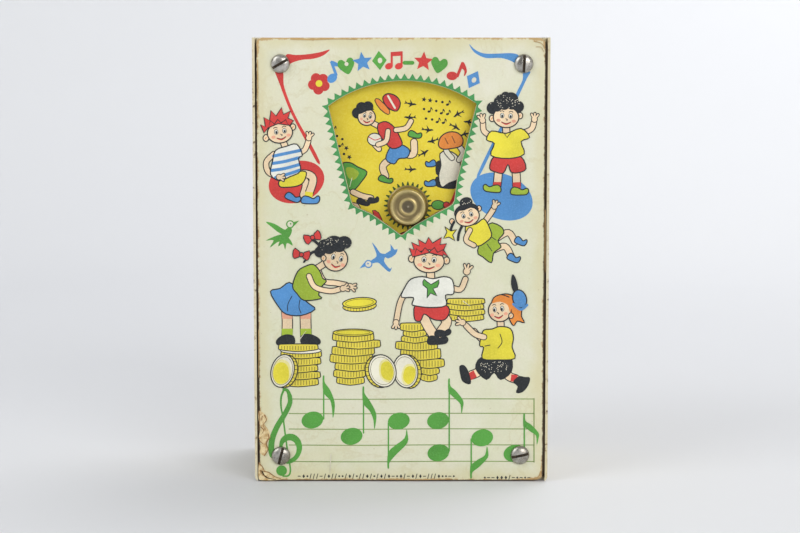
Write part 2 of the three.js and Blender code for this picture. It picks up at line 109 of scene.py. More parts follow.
class Mat:
    """A small builder for procedural materials. Coordinates are the piece's own, in metres."""

    def __init__(self, name, rough=0.5, metallic=0.0, specular=0.5):
        self.m = bpy.data.materials.new(name)
        self.m.use_nodes = True
        self.t = self.m.node_tree
        self.t.nodes.clear()
        self.out = self.t.nodes.new("ShaderNodeOutputMaterial")
        self.b = self.t.nodes.new("ShaderNodeBsdfPrincipled")
        self.t.links.new(self.b.outputs[0], self.out.inputs[0])
        self.b.inputs["Roughness"].default_value = rough
        self.b.inputs["Metallic"].default_value = metallic
        self.b.inputs["Specular IOR Level"].default_value = specular
        self.coord = self.t.nodes.new("ShaderNodeTexCoord").outputs["Object"]
        self.height = None
        self.m.diffuse_color = (0.8, 0.8, 0.8, 1)

    def link(self, a, b):
        self.t.links.new(a, b)

    def xyz(self):
        if not hasattr(self, "_xyz"):
            n = self.t.nodes.new("ShaderNodeSeparateXYZ")
            self.link(self.coord, n.inputs[0])
            self._xyz = n.outputs
        return self._xyz

    def scaled(self, sx, sy, sz, rot=(0, 0, 0)):
        n = self.t.nodes.new("ShaderNodeMapping")
        n.inputs["Scale"].default_value = (sx, sy, sz)
        n.inputs["Rotation"].default_value = rot
        self.link(self.coord, n.inputs["Vector"])
        return n.outputs[0]

    def noise(self, scale, detail=4, rough=0.55, dist=0.0, vec=None, seed=0.0):
        n = self.t.nodes.new("ShaderNodeTexNoise")
        n.noise_dimensions = "4D"
        n.inputs["W"].default_value = seed
        n.inputs["Scale"].default_value = scale
        n.inputs["Detail"].default_value = detail
        n.inputs["Roughness"].default_value = rough
        n.inputs["Distortion"].default_value = dist
        self.link(vec or self.coord, n.inputs["Vector"])
        return n.outputs["Fac"]

    def voronoi(self, scale, vec=None, feature="F1"):
        n = self.t.nodes.new("ShaderNodeTexVoronoi")
        n.feature = feature
        n.inputs["Scale"].default_value = scale
        self.link(vec or self.coord, n.inputs["Vector"])
        return n.outputs["Distance"]

    def math(self, op, a, b=None, c=None, clamp=False):
        n = self.t.nodes.new("ShaderNodeMath")
        n.operation = op
        n.use_clamp = clamp
        for i, v in enumerate((a, b, c)):
            if v is None:
                continue
            if isinstance(v, (int, float)):
                n.inputs[i].default_value = v
            else:
                self.link(v, n.inputs[i])
        return n.outputs[0]

    def ramp(self, fac, lo, hi, a=0.0, b=1.0, smooth=True):
        n = self.t.nodes.new("ShaderNodeMapRange")
        n.interpolation_type = "SMOOTHSTEP" if smooth else "LINEAR"
        n.inputs["From Min"].default_value = lo
        n.inputs["From Max"].default_value = hi
        n.inputs["To Min"].default_value = a
        n.inputs["To Max"].default_value = b
        self.link(fac, n.inputs["Value"])
        return n.outputs["Result"]

    def mix(self, fac, a, b):
        n = self.t.nodes.new("ShaderNodeMix")
        n.data_type = "RGBA"
        if isinstance(fac, (int, float)):
            n.inputs[0].default_value = fac
        else:
            self.link(fac, n.inputs[0])
        for i, v in ((6, a), (7, b)):
            if isinstance(v, tuple):
                n.inputs[i].default_value = v
            else:
                self.link(v, n.inputs[i])
        return n.outputs[2]

    def colour(self, socket):
        if isinstance(socket, tuple):
            self.b.inputs["Base Color"].default_value = socket
        else:
            self.link(socket, self.b.inputs["Base Color"])

    def roughness(self, socket):
        self.link(socket, self.b.inputs["Roughness"])

    def metal(self, socket):
        self.link(socket, self.b.inputs["Metallic"])

    def bump(self, height, distance, strength=1.0):
        n = self.t.nodes.new("ShaderNodeBump")
        n.inputs["Strength"].default_value = strength
        n.inputs["Distance"].default_value = distance
        self.link(height, n.inputs["Height"])
        if self.height is not None:
            self.link(self.height, n.inputs["Normal"])
        self.height = n.outputs[0]
        self.link(self.height, self.b.inputs["Normal"])


def edge_near(m, axis, at, reach):
    """1 at coordinate = at, falling to 0 at that distance away."""
    d = m.math("ABSOLUTE", m.math("SUBTRACT", m.xyz()[axis], at))
    return m.ramp(d, 0.0, reach, 1.0, 0.0)


PAPER = (224, 223, 199)
PX0, PX1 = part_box("front_panel")[0].x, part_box("front_panel")[1].x
PZ0, PZ1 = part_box("front_panel")[0].z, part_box("front_panel")[1].z


def printed_board():
    m = Mat("printed_board_paper", rough=0.42, specular=0.35)
    x, y, z = m.xyz()
    # distance to the sheet's rim, roughened
    dx = m.math("SUBTRACT", (PX1 - PX0) / 2, m.math("ABSOLUTE", m.math("SUBTRACT", x, (PX0 + PX1) / 2)))
    dz = m.math("SUBTRACT", (PZ1 - PZ0) / 2, m.math("ABSOLUTE", m.math("SUBTRACT", z, (PZ0 + PZ1) / 2)))
    rim = m.math("MINIMUM", dx, dz)
    big = m.noise(22, 5, 0.6, seed=1.3)
    mid = m.noise(140, 6, 0.62, seed=4.1)
    fine = m.noise(1500, 4, 0.6, seed=8.2)
    base = m.mix(m.ramp(big, 0.3, 0.72), lin(PAPER), lin((216, 217, 187)))
    base = m.mix(m.ramp(mid, 0.42, 0.75, 0, 0.5), base, lin((226, 221, 203)))
    base = m.mix(m.ramp(fine, 0.3, 0.75, 0, 0.22), base, lin((198, 192, 158)))
    stain = m.noise(17, 5, 0.55, dist=0.5, seed=12.4)
    base = m.mix(m.ramp(stain, 0.5, 0.72, 0, 0.55), base, lin((215, 208, 160)))
    tide = m.noise(34, 6, 0.6, dist=0.9, seed=15.1)
    base = m.mix(m.ramp(m.math("ABSOLUTE", m.math("SUBTRACT", tide, 0.57)), 0.0, 0.018, 0.22, 0.0), base, lin((196, 184, 136)))
    base = m.mix(m.ramp(m.noise(45, 5, 0.6, seed=21.0), 0.55, 0.75, 0, 0.5), base, lin((232, 231, 216)))
    # yellowed towards the rim
    rim_n = m.math("ADD", rim, m.math("MULTIPLY", m.math("SUBTRACT", mid, 0.5), 0.008))
    base = m.mix(m.ramp(rim_n, 0.0008, 0.0062, 0.5, 0.0), base, lin((212, 202, 154)))
    # tan worn rim with bare board
    n2 = m.noise(420, 6, 0.68, seed=2.2)
    rim_w = m.math("ADD", rim, m.math("MULTIPLY", m.math("SUBTRACT", n2, 0.52), 0.0045))
    corner = m.ramp(m.math("ADD", dx, dz), 0.0015, 0.0085, 1.0, 0.0)
    rim_w = m.math("SUBTRACT", rim_w, m.math("MULTIPLY", corner, 0.0011))
    base = m.mix(m.ramp(rim_w, 0.00005, 0.00075, 0.95, 0.0), base, lin((190, 158, 108)))
    speck = m.noise(900, 2, 0.5, seed=6.4)
    base = m.mix(m.ramp(speck, 0.70, 0.76, 0, 0.55), base, lin((150, 128, 92)))
    # painted shadow of the gap between the board and the case walls: a dark line down each side, wider on the right and
    # low on the left
    width = m.math("ADD", m.ramp(x, -0.02, 0.02, 0.00006, 0.00032), m.math("MULTIPLY", m.ramp(x, -0.02, 0.0, 0.00022, 0.0), m.ramp(z, 0.035, 0.06, 1.0, 0.0)))
    side = m.math("SUBTRACT", m.math("ADD", dx, m.math("MULTIPLY", m.math("SUBTRACT", n2, 0.5), 0.0009)), width)
    base = m.mix(m.ramp(side, 0.0002, 0.00042, 0.94, 0.0), base, lin((50, 38, 28)))
    # painted shadow: a dark line along the bottom edge, where the board meets the floor
    foot = m.math("ADD", dz, m.math("MULTIPLY", m.math("SUBTRACT", n2, 0.5), 0.0007))
    foot = m.math("MULTIPLY", m.ramp(foot, 0.0002, 0.00045, 0.88, 0.0), m.ramp(z, 0.03, 0.05, 1.0, 0.0))
    base = m.mix(foot, base, lin((70, 52, 36)))
    m.colour(base)
    m.roughness(m.math("ADD", m.ramp(mid, 0.3, 0.7, 0.36, 0.5), m.ramp(rim_w, 0.0, 0.0012, 0.35, 0.0)))
    m.bump(fine, 0.00002, 0.35)
    m.bump(m.noise(60, 3, 0.5, seed=9.0), 0.0002, 0.25)
    return m.m


def board_core():
    m = Mat("board_core", rough=0.85, specular=0.2)
    n = m.noise(700, 6, 0.7, seed=3.0, vec=m.scaled(1, 5, 1))
    c = m.mix(m.ramp(n, 0.3, 0.7), lin((142, 108, 68)), lin((196, 164, 116)))
    c = m.mix(m.ramp(m.noise(2200, 3, 0.6, seed=5.0), 0.6, 0.75, 0, 0.7), c, lin((88, 62, 38)))
    m.colour(c)
    m.bump(n, 0.0001, 0.6)
    return m.m


def torn_fibre():
    m = Mat("torn_board", rough=0.9, specular=0.15)
    n = m.noise(500, 7, 0.7, dist=0.6, seed=7.7)
    c = m.mix(m.ramp(n, 0.32, 0.62), lin((178, 138, 84)), lin((234, 216, 170)))
    c = m.mix(m.ramp(m.noise(1400, 5, 0.7, seed=1.9), 0.62, 0.7, 0, 0.8), c, lin((120, 84, 44)))
    m.colour(c)
    m.bump(n, 0.00025, 0.8)
    return m.m


INKS = {
    "red": (214, 62, 58), "blue": (84, 146, 206), "green": (88, 164, 66), "border": (72, 152, 84),
    "yellow": (236, 222, 62), "lime": (162, 188, 56), "black": (34, 38, 42), "skin": (244, 217, 178),
    "pink": (240, 172, 142), "orange": (232, 140, 58), "cream": (240, 236, 214), "tan": (196, 160, 104),
    "gold": (233, 215, 76), "brown": (120, 70, 44), "white": (238, 238, 226), "fade": (232, 226, 204),
    "seam": (92, 80, 38), "umber": (150, 108, 64), "butter": (240, 231, 158), "staff": (136, 160, 92), "leaf": (52, 84, 34),
}


def ink(name, on_disc=False):
    rgb = INKS[name]
    m = Mat(("disc_ink_" if on_disc else "panel_ink_") + name + "_mat", rough=0.44, specular=0.35)
    seed = sum(ord(ch) for ch in name) * 0.37
    big = m.noise(60, 4, 0.6, seed=seed)
    fine = m.noise(1800, 4, 0.65, seed=seed + 3)
    dark = tuple(max(0, c * 0.88) for c in rgb)
    light = tuple(min(255, c * 0.9 + 30) for c in rgb)
    c = m.mix(m.ramp(big, 0.3, 0.7), lin(rgb), lin(dark))
    c = m.mix(m.ramp(fine, 0.42, 0.72, 0, 0.5), c, lin(light))
    # rubbed places where the paper shows through
    under = lin((232, 214, 120)) if on_disc else lin((222, 216, 186))
    rub = m.noise(330, 7, 0.72, seed=seed + 9)
    c = m.mix(m.ramp(rub, 0.66, 0.76, 0, 0.75), c, under)
    m.colour(c)
    m.roughness(m.ramp(rub, 0.35, 0.7, 0.38, 0.55))
    m.bump(fine, 0.00001, 0.3)
    return m.m


def disc_card():
    m = Mat("disc_card", rough=0.5, specular=0.3)
    big = m.noise(55, 5, 0.6, seed=2.6)
    fine = m.noise(1600, 4, 0.6, seed=6.0)
    c = m.mix(m.ramp(big, 0.3, 0.7), lin((232, 214, 62)), lin((222, 198, 50)))
    c = m.mix(m.ramp(fine, 0.4, 0.75, 0, 0.4), c, lin((240, 226, 104)))
    c = m.mix(m.ramp(m.noise(260, 6, 0.7, seed=3.2), 0.62, 0.78, 0, 0.5), c, lin((206, 170, 48)))
    m.colour(c)
    m.roughness(m.ramp(big, 0.3, 0.7, 0.42, 0.58))
    m.bump(fine, 0.00002, 0.35)
    return m.m


def enamel(node, chips=1.0):
    """Cream enamel on sheet steel, chipped to dark steel along the node's own edges and bends."""
    m = Mat("cream_enamel_" + node, rough=0.38, specular=0.5)
    lo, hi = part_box(node)
    x, y, z = m.xyz()
    ends = [m.math("MAXIMUM", edge_near(m, i, lo[i], 0.003), edge_near(m, i, hi[i], 0.003)) for i in range(3)]
    near = m.math("MAXIMUM", m.math("MULTIPLY", ends[0], ends[1]), m.math("MAXIMUM", m.math("MULTIPLY", ends[0], ends[2]),
                                                                        m.math("MULTIPLY", ends[1], ends[2])))
    big = m.noise(26, 5, 0.62, seed=1.0)
    mid = m.noise(210, 7, 0.68, seed=5.5)
    fine = m.noise(1100, 4, 0.6, seed=7.1)
    c = m.mix(m.ramp(big, 0.3, 0.7), lin((222, 214, 184)), lin((208, 196, 158)))
    c = m.mix(m.ramp(fine, 0.45, 0.8, 0, 0.35), c, lin((190, 174, 134)))
    # grime that gathers in broad patches
    c = m.mix(m.ramp(m.noise(70, 6, 0.7, seed=8.8), 0.56, 0.78, 0, 0.45), c, lin((168, 148, 104)))
    # thin scratches
    sc = m.noise(420, 2, 0.4, dist=0.2, vec=m.scaled(1, 0.06, 1.0, (0.3, 0.1, 0.2)), seed=4.4)
    scm = m.ramp(m.math("ABSOLUTE", m.math("SUBTRACT", sc, 0.5)), 0.0, 0.006, 0.5, 0.0)
    scm = m.math("MULTIPLY", scm, m.ramp(big, 0.5, 0.62))
    c = m.mix(scm, c, lin((150, 132, 96)))
    small = m.noise(620, 5, 0.66, seed=3.3)
    mixed = m.math("MULTIPLY_ADD", mid, 0.45, m.math("MULTIPLY", small, 0.55))
    lift = m.math("MULTIPLY_ADD", near, (0.085 if node == "case_wrap" else 0.12) * chips, mixed)
    if node == "case_wrap":
        lift = m.math("MULTIPLY_ADD", edge_near(m, 1, lo.y, 0.0013), 0.012, lift)
    chip = m.ramp(lift, 0.665, 0.685, smooth=True)
    halo = m.ramp(lift, 0.6, 0.67, 0, 0.5)
    c = m.mix(halo, c, lin((176, 150, 104)))
    steel = m.mix(m.ramp(fine, 0.35, 0.65), lin((66, 56, 46)), lin((104, 76, 52)))
    c = m.mix(chip, c, steel)
    m.colour(c)
    m.roughness(m.math("ADD", m.ramp(big, 0.3, 0.7, 0.3, 0.44), m.math("MULTIPLY", chip, 0.32)))
    m.bump(m.math("SUBTRACT", 1.0, chip), 0.00008, 0.8)
    m.bump(m.noise(520, 2, 0.5, seed=2.0), 0.00003, 0.25)
    return m.m


def metal(name, light, dark, rough=(0.25, 0.5), scale=260, tarnish=(70, 56, 40), tarnish_at=0.62,
          brushed=None, bump=0.00002):
    m = Mat(name, metallic=1.0)
    v = m.scaled(*brushed) if brushed else None
    n = m.noise(scale, 6, 0.66, vec=v, seed=scale * 0.01)
    big = m.noise(scale * 0.22, 4, 0.6, seed=3.4)
    c = m.mix(m.ramp(n, 0.3, 0.7), lin(dark), lin(light))
    t = m.ramp(m.math("MULTIPLY_ADD", big, 0.5, m.math("MULTIPLY", n, 0.5)), tarnish_at - 0.06, tarnish_at + 0.1, 0, 0.75)
    c = m.mix(t, c, lin(tarnish))
    m.colour(c)
    m.roughness(m.math("ADD", m.ramp(n, 0.3, 0.7, rough[0], rough[1]), m.math("MULTIPLY", t, 0.2)))
    m.metal(m.ramp(t, 0.0, 1.0, 1.0, 0.55))
    m.bump(n, bump, 0.5)
    return m.m


def turned_brass():
    """Tarnished brass knob: rings left by the lathe, with painted shade darkening the dish of the face so the crest
    reads brighter.
    """
    m = Mat("knob_brass", metallic=1.0)
    lo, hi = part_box("knob")
    cx, cz = (lo.x + hi.x) / 2, (lo.z + hi.z) / 2
    x, y, z = m.xyz()
    dx, dz = m.math("SUBTRACT", x, cx), m.math("SUBTRACT", z, cz)
    r = m.math("SQRT", m.math("ADD", m.math("MULTIPLY", dx, dx), m.math("MULTIPLY", dz, dz)))
    n = m.noise(500, 6, 0.65, seed=2.0)
    big = m.noise(120, 5, 0.6, seed=5.0)
    rings = m.math("SINE", m.math("MULTIPLY", r, 26000))
    c = m.mix(m.ramp(big, 0.3, 0.7), lin((206, 190, 134)), lin((178, 158, 104)))
    c = m.mix(m.ramp(n, 0.4, 0.75, 0, 0.5), c, lin((166, 146, 96)))
    # painted shade: the dish of the knob's face is darkened in the colour
    dish_shade = m.math("MULTIPLY", m.ramp(r, 0.0028, 0.0034), m.ramp(r, 0.0042, 0.0056, 1.0, 0.0))
    c = m.mix(m.math("MULTIPLY", dish_shade, 0.8), c, lin((106, 91, 62)))
    centre = m.ramp(r, 0.0018, 0.0026, 1.0, 0.0)
    c = m.mix(m.math("MULTIPLY", centre, 0.92), c, lin((84, 76, 62)))
    dot = m.ramp(r, 0.0002, 0.0005, 0.5, 0.0)
    c = m.mix(dot, c, lin((176, 166, 140)))
    side = m.ramp(y, lo.y + 0.0016, lo.y + 0.003)
    c = m.mix(m.math("MULTIPLY", side, 0.6), c, lin((118, 98, 56)))
    m.colour(c)
    m.roughness(m.math("ADD", m.ramp(n, 0.3, 0.7, 0.3, 0.44), m.math("MULTIPLY", centre, 0.12)))
    m.metal(m.ramp(big, 0.3, 0.8, 0.8, 0.5))
    m.bump(rings, 0.000006, 0.25)
    m.bump(n, 0.00003, 0.5)
    return m.m


# painted shade: a dark matt finish for the screw slots and the undersides of the heads, where shade falls
def grime():
    m = Mat("packed_grime", rough=0.8, specular=0.3)
    n = m.noise(1500, 5, 0.7, seed=1.5)
    m.colour(m.mix(m.ramp(n, 0.3, 0.7), lin((40, 34, 27)), lin((84, 72, 56))))
    m.bump(n, 0.00005, 0.6)
    return m.m


def screw_nickel():
    """Old nickel plate, greyed and browned in patches, and darker towards the rim of the head than on the crown."""
    m = Mat("screw_nickel", metallic=1.0)
    n = m.noise(420, 6, 0.68, seed=4.2)
    fine = m.noise(2200, 4, 0.6, seed=1.2)
    big = m.noise(110, 4, 0.6, seed=7.4)
    c = m.mix(m.ramp(n, 0.3, 0.7), lin((150, 146, 138)), lin((206, 203, 196)))
    c = m.mix(m.ramp(fine, 0.5, 0.75, 0, 0.5), c, lin((112, 104, 92)))
    c = m.mix(m.ramp(big, 0.5, 0.68, 0, 0.6), c, lin((118, 104, 84)))
    d = m.math("ABSOLUTE", m.xyz()[1])
    lo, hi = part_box("panel_screw_ul")[0].y, PANEL_Y
    # darker towards the rim of the head, close to the board
    rim = m.ramp(m.math("SUBTRACT", hi, m.xyz()[1]), 0.0003, 0.0012, 0.6, 0.0)
    c = m.mix(rim, c, lin((84, 74, 60)))
    m.colour(c)
    m.roughness(m.ramp(n, 0.3, 0.7, 0.22, 0.42))
    m.metal(m.ramp(big, 0.5, 0.7, 1.0, 0.7))
    m.bump(n, 0.00005, 0.6)
    m.bump(fine, 0.00001, 0.4)
    return m.m


def wood():
    m = Mat("post_wood", rough=0.7, specular=0.25)
    v = m.scaled(1, 0.08, 1)
    g = m.noise(900, 6, 0.6, dist=0.8, vec=v, seed=1.0)
    b = m.noise(240, 4, 0.5, vec=v, seed=2.0)
    c = m.mix(m.ramp(g, 0.3, 0.7), lin((186, 146, 98)), lin((146, 104, 62)))
    c = m.mix(m.ramp(b, 0.5, 0.75, 0, 0.6), c, lin((204, 170, 122)))
    m.colour(c)
    m.roughness(m.ramp(g, 0.3, 0.7, 0.6, 0.8))
    m.bump(g, 0.0001, 0.6)
    return m.m


M = {
    "board": printed_board(), "core": board_core(), "torn": torn_fibre(), "disc": disc_card(),
    "enamel": enamel("case_wrap"), "enamel_top": enamel("top_plate"), "enamel_back": enamel("back_plate"),
    "enamel_door": enamel("coin_door"), "knob": turned_brass(), "wood": wood(),
    "nickel": screw_nickel(), "grime": grime(),
    "steel": metal("plain_steel", (176, 176, 178), (132, 132, 134), (0.3, 0.46), 340, (96, 84, 70), 0.66, (1, 1, 0.15)),
    "spring": metal("spring_steel", (116, 122, 140), (78, 84, 104), (0.24, 0.4), 420, (78, 62, 50), 0.68),
    "brass": metal("mechanism_brass", (206, 172, 92), (168, 134, 64), (0.28, 0.44), 360, (112, 82, 40), 0.64),
}

# ------------------------------------------------------------------ mesh helpers


def new_object(name, verts, faces, material, body=None, smooth=False):
    me = bpy.data.meshes.new(name)
    me.from_pydata(verts, [], faces)
    me.update()
    ob = bpy.data.objects.new(name, me)
    scene.collection.objects.link(ob)
    for mt in material if isinstance(material, (list, tuple)) else [material]:
        me.materials.append(mt)
    if smooth:
        for p in me.polygons:
            p.use_smooth = True
    if body:
        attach(ob, body)
    return ob


def recalc(ob):
    bm = bmesh.new()
    bm.from_mesh(ob.data)
    bmesh.ops.recalc_face_normals(bm, faces=bm.faces)
    bm.to_mesh(ob.data)
    bm.free()


def auto_smooth(ob, angle=35):
    """Smooth faces, with edges sharper than the angle kept crisp."""
    bm = bmesh.new()
    bm.from_mesh(ob.data)
    for f in bm.faces:
        f.smooth = True
    lim = math.radians(angle)
    for e in bm.edges:
        e.smooth = len(e.link_faces) == 2 and e.calc_face_angle(0) < lim
    bm.to_mesh(ob.data)
    bm.free()


def baked(ob):
    """Turns an object's modifiers into its mesh."""
    dg = bpy.context.evaluated_depsgraph_get()
    me = bpy.data.meshes.new_from_object(ob.evaluated_get(dg))
    ob.modifiers.clear()
    ob.data = me
    return ob


def lathe_y(profile, cx, cz, seg=96):
    """Turned solid about a Y axis through (cx, cz); profile is (radius, y) in metres, open ends lie on the axis."""
    verts, faces, rings = [], [], []
    for r, y in profile:
        if r < 1e-7:
            rings.append([len(verts)])
            verts.append((cx, y, cz))
        else:
            rings.append(list(range(len(verts), len(verts) + seg)))
            for k in range(seg):
                a = 2 * math.pi * k / seg
                verts.append((cx + r * math.cos(a), y, cz + r * math.sin(a)))
    for a, b in zip(rings, rings[1:]):
        for k in range(seg):
            k2 = (k + 1) % seg
            if len(a) == 1 and len(b) > 1:
                faces.append((a[0], b[k2], b[k]))
            elif len(b) == 1 and len(a) > 1:
                faces.append((a[k], a[k2], b[0]))
            elif len(a) > 1:
                faces.append((a[k], a[k2], b[k2], b[k]))
    return verts, faces


def catmull(pts, n=6, closed=True):
    out, m = [], len(pts)
    rng = range(m) if closed else range(m - 1)
    for i in rng:
        if closed:
            p0, p1, p2, p3 = pts[(i - 1) % m], pts[i], pts[(i + 1) % m], pts[(i + 2) % m]
        else:
            p0, p1, p2, p3 = pts[max(i - 1, 0)], pts[i], pts[i + 1], pts[min(i + 2, m - 1)]
        for k in range(n):
            t = k / n
            t2, t3 = t * t, t * t * t
            out.append(tuple(
                0.5 * (2 * p1[j] + (p2[j] - p0[j]) * t + (2 * p0[j] - 5 * p1[j] + 4 * p2[j] - p3[j]) * t2
                       + (3 * p1[j] - p0[j] - 3 * p2[j] + p3[j]) * t3) for j in range(2)))
    if not closed:
        out.append(tuple(pts[-1]))
    return out


def area2(p):
    return sum(p[i][0] * p[(i + 1) % len(p)][1] - p[(i + 1) % len(p)][0] * p[i][1] for i in range(len(p))) / 2


def triangles(loops):
    """Triangulates loops (outer, holes) of (x, z); indices run through the loops in order, facing -Y."""
    flat = [p for l in loops for p in l]
    tris = tessellate_polygon([[Vector((x, z, 0)) for x, z in l] for l in loops])
    out = []
    for a, b, c in tris:
        s = (flat[b][0] - flat[a][0]) * (flat[c][1] - flat[a][1]) - (flat[c][0] - flat[a][0]) * (flat[b][1] - flat[a][1])
        if abs(s) < 1e-16:
            continue
        out.append((a, b, c) if s > 0 else (a, c, b))
    return out


# ------------------------------------------------------------------ the printed board
rnd = random.Random(41)
WINDOW = []
ax, az, ar = 0.99, 97.74, 44.05
a0, a1 = math.atan2(132.9 - az, -25.4 - ax), math.atan2(133.8 - az, 26.3 - ax)
for k in range(57):
    a = a0 + (a1 - a0) * k / 56
    WINDOW.append((ax + ar * math.cos(a), az + ar * math.sin(a)))
LOWER = [(26.3, 133.8), (19.55, 107.2), (18.62, 99.9), (18.0, 98.75), (16.8, 97.85), (12.55, 95.62), (4.85, 91.3),
         (1.5, 88.8), (0.75, 88.15), (0.15, 87.85), (-0.5, 88.1), (-3.57, 90.45), (-10.58, 95.4), (-15.4, 97.55),
         (-16.8, 98.45), (-17.45, 99.7), (-25.4, 132.9)]
for p, q in zip(LOWER, LOWER[1:]):
    n = max(1, int(math.dist(p, q) / 1.6))
    for k in range(1, n + 1):
        WINDOW.append((p[0] + (q[0] - p[0]) * k / n, p[1] + (q[1] - p[1]) * k / n))
WINDOW.pop()
WINDOW = [(x * MM, z * MM) for x, z in WINDOW]


def inward(loop, d):
    """The loop moved by d towards the solid of a counter-clockwise outline's inside (metres)."""
    out, n = [], len(loop)
    for i in range(n):
        p, q, r = loop[i - 1], loop[i], loop[(i + 1) % n]
        v = Vector((q[0] - p[0], q[1] - p[1])).normalized() + Vector((r[0] - q[0], r[1] - q[1])).normalized()
        v = v.normalized() if v.length > 1e-9 else Vector((1, 0))
        out.append((q[0] - v.y * d, q[1] + v.x * d))
    return out


def board_outline():
    """Rounded rectangle, counter-clockwise seen from the front; rubbed() later makes its rim uneven."""
    r, pts = 0.0024, []
    corners = [(PX1 - r, PZ0 + r, -90), (PX1 - r, PZ1 - r, 0), (PX0 + r, PZ1 - r, 90), (PX0 + r, PZ0 + r, 180)]
    for ci, (cx, cz, start) in enumerate(corners):
        for k in range(13):
            a = math.radians(start + 90 * k / 12)
            pts.append((cx + r * math.cos(a), cz + r * math.sin(a)))
        nx, nz, ns = corners[(ci + 1) % 4]
        a = math.radians(ns)
        q = (nx + r * math.cos(a), nz + r * math.sin(a))
        p = pts[-1]
        n = int(math.dist(p, q) / 0.0012)
        for k in range(1, n):
            pts.append((p[0] + (q[0] - p[0]) * k / n, p[1] + (q[1] - p[1]) * k / n))
    return pts


outline = board_outline()


def rubbed(pts, depth, seed, bites=()):
    out = []
    for i, (x, z) in enumerate(pts):
        w = depth * (0.35 + 0.65 * max(0.0, mnoise.fractal(Vector((x * 260, seed, z * 260)), 0.8, 2.1, 4) + 0.35))
        for bx, bz, br, bd in bites:
            d = math.hypot(x - bx, z - bz)
            if d < br:
                w += bd * (1 - (d / br) ** 2) * (0.65 + 0.35 * mnoise.noise(Vector((x * 900, 2.0, z * 900))))
        out.append(w)
    return [inward(pts, w)[i] for i, w in enumerate(out)] if len(pts) < 1 else \
        [_shift(pts, i, out[i]) for i in range(len(pts))]


def _shift(pts, i, d):
    p, q, r = pts[i - 1], pts[i], pts[(i + 1) % len(pts)]
    v = Vector((q[0] - p[0], q[1] - p[1])).normalized() + Vector((r[0] - q[0], r[1] - q[1])).normalized()
    v = v.normalized()
    return (q[0] - v.y * d, q[1] + v.x * d)


BITES = [(PX0, PZ0, 0.0035, 0.0007), (PX1, PZ0, 0.003, 0.0006), (PX1, PZ1, 0.0032, 0.0006), (PX0, PZ1, 0.0024, 0.0003)]
rim_outer = rubbed(outline, 0.00006, 3.0, BITES)
rim_front = [_shift(rim_outer, i, 0.00022 + 0.00016 * (mnoise.noise(Vector((p[0] * 500, 7.0, p[1] * 500))) + 0.5))
             for i, p in enumerate(rim_outer)]
win_cw = list(reversed(WINDOW)) if area2(WINDOW) > 0 else list(WINDOW)      # holes run clockwise
win_front = [_shift(win_cw, i, 0.0001) for i in range(len(win_cw))]

SCREWS = {}
for k in ("ul", "ur", "ll", "lr"):
    lo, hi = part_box("panel_screw_" + k)
    SCREWS[k] = ((lo.x + hi.x) / 2, (lo.z + hi.z) / 2)
holes = []
for cx, cz in SCREWS.values():
    holes.append([(cx + 0.002 * math.cos(-2 * math.pi * k / 24), cz + 0.002 * math.sin(-2 * math.pi * k / 24)) for k in range(24)])

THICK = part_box("front_panel")[1].y - PANEL_Y


def solid_from_loops(front, rings):
    """front: loops (outer, holes) at the front; rings: later stations [(y, loops)], the last one is the back."""
    verts, faces, mats = [], [], []
    stations = [(PANEL_Y, front)] + rings
    starts = []
    for y, loops in stations:
        starts.append(len(verts))
        for l in loops:
            verts.extend((x, y, z) for x, z in l)
    for t in triangles(front):
        faces.append(t)
        mats.append(0)
    base = starts[-1]
    for a, b, c in triangles(stations[-1][1]):
        faces.append((base + a, base + c, base + b))
        mats.append(1)
    for si in range(len(stations) - 1):
        off = 0
        for l in stations[si][1]:
            n = len(l)
            for k in range(n):
                a, b = starts[si] + off + k, starts[si] + off + (k + 1) % n
                c, d = starts[si + 1] + off + (k + 1) % n, starts[si + 1] + off + k
                faces.append((a, d, c, b))
                mats.append(0 if si == 0 else 1)
            off += n
    return verts, faces, mats


v, f, mi = solid_from_loops(
    [rim_front, win_front] + holes,
    [(PANEL_Y + 0.00018, [rim_outer, win_cw] + holes),
     (PANEL_Y + THICK - 0.0002, [rim_outer, win_cw] + holes),
     (PANEL_Y + THICK, [[_shift(rim_outer, i, 0.0002) for i in range(len(rim_outer))], win_cw] + holes)])
board = new_object("printed_board", v, f, [M["board"], M["core"]], "case")
for p, i in zip(board.data.polygons, mi):
    p.material_index = i
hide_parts("front_panel")

# ------------------------------------------------------------------ screws


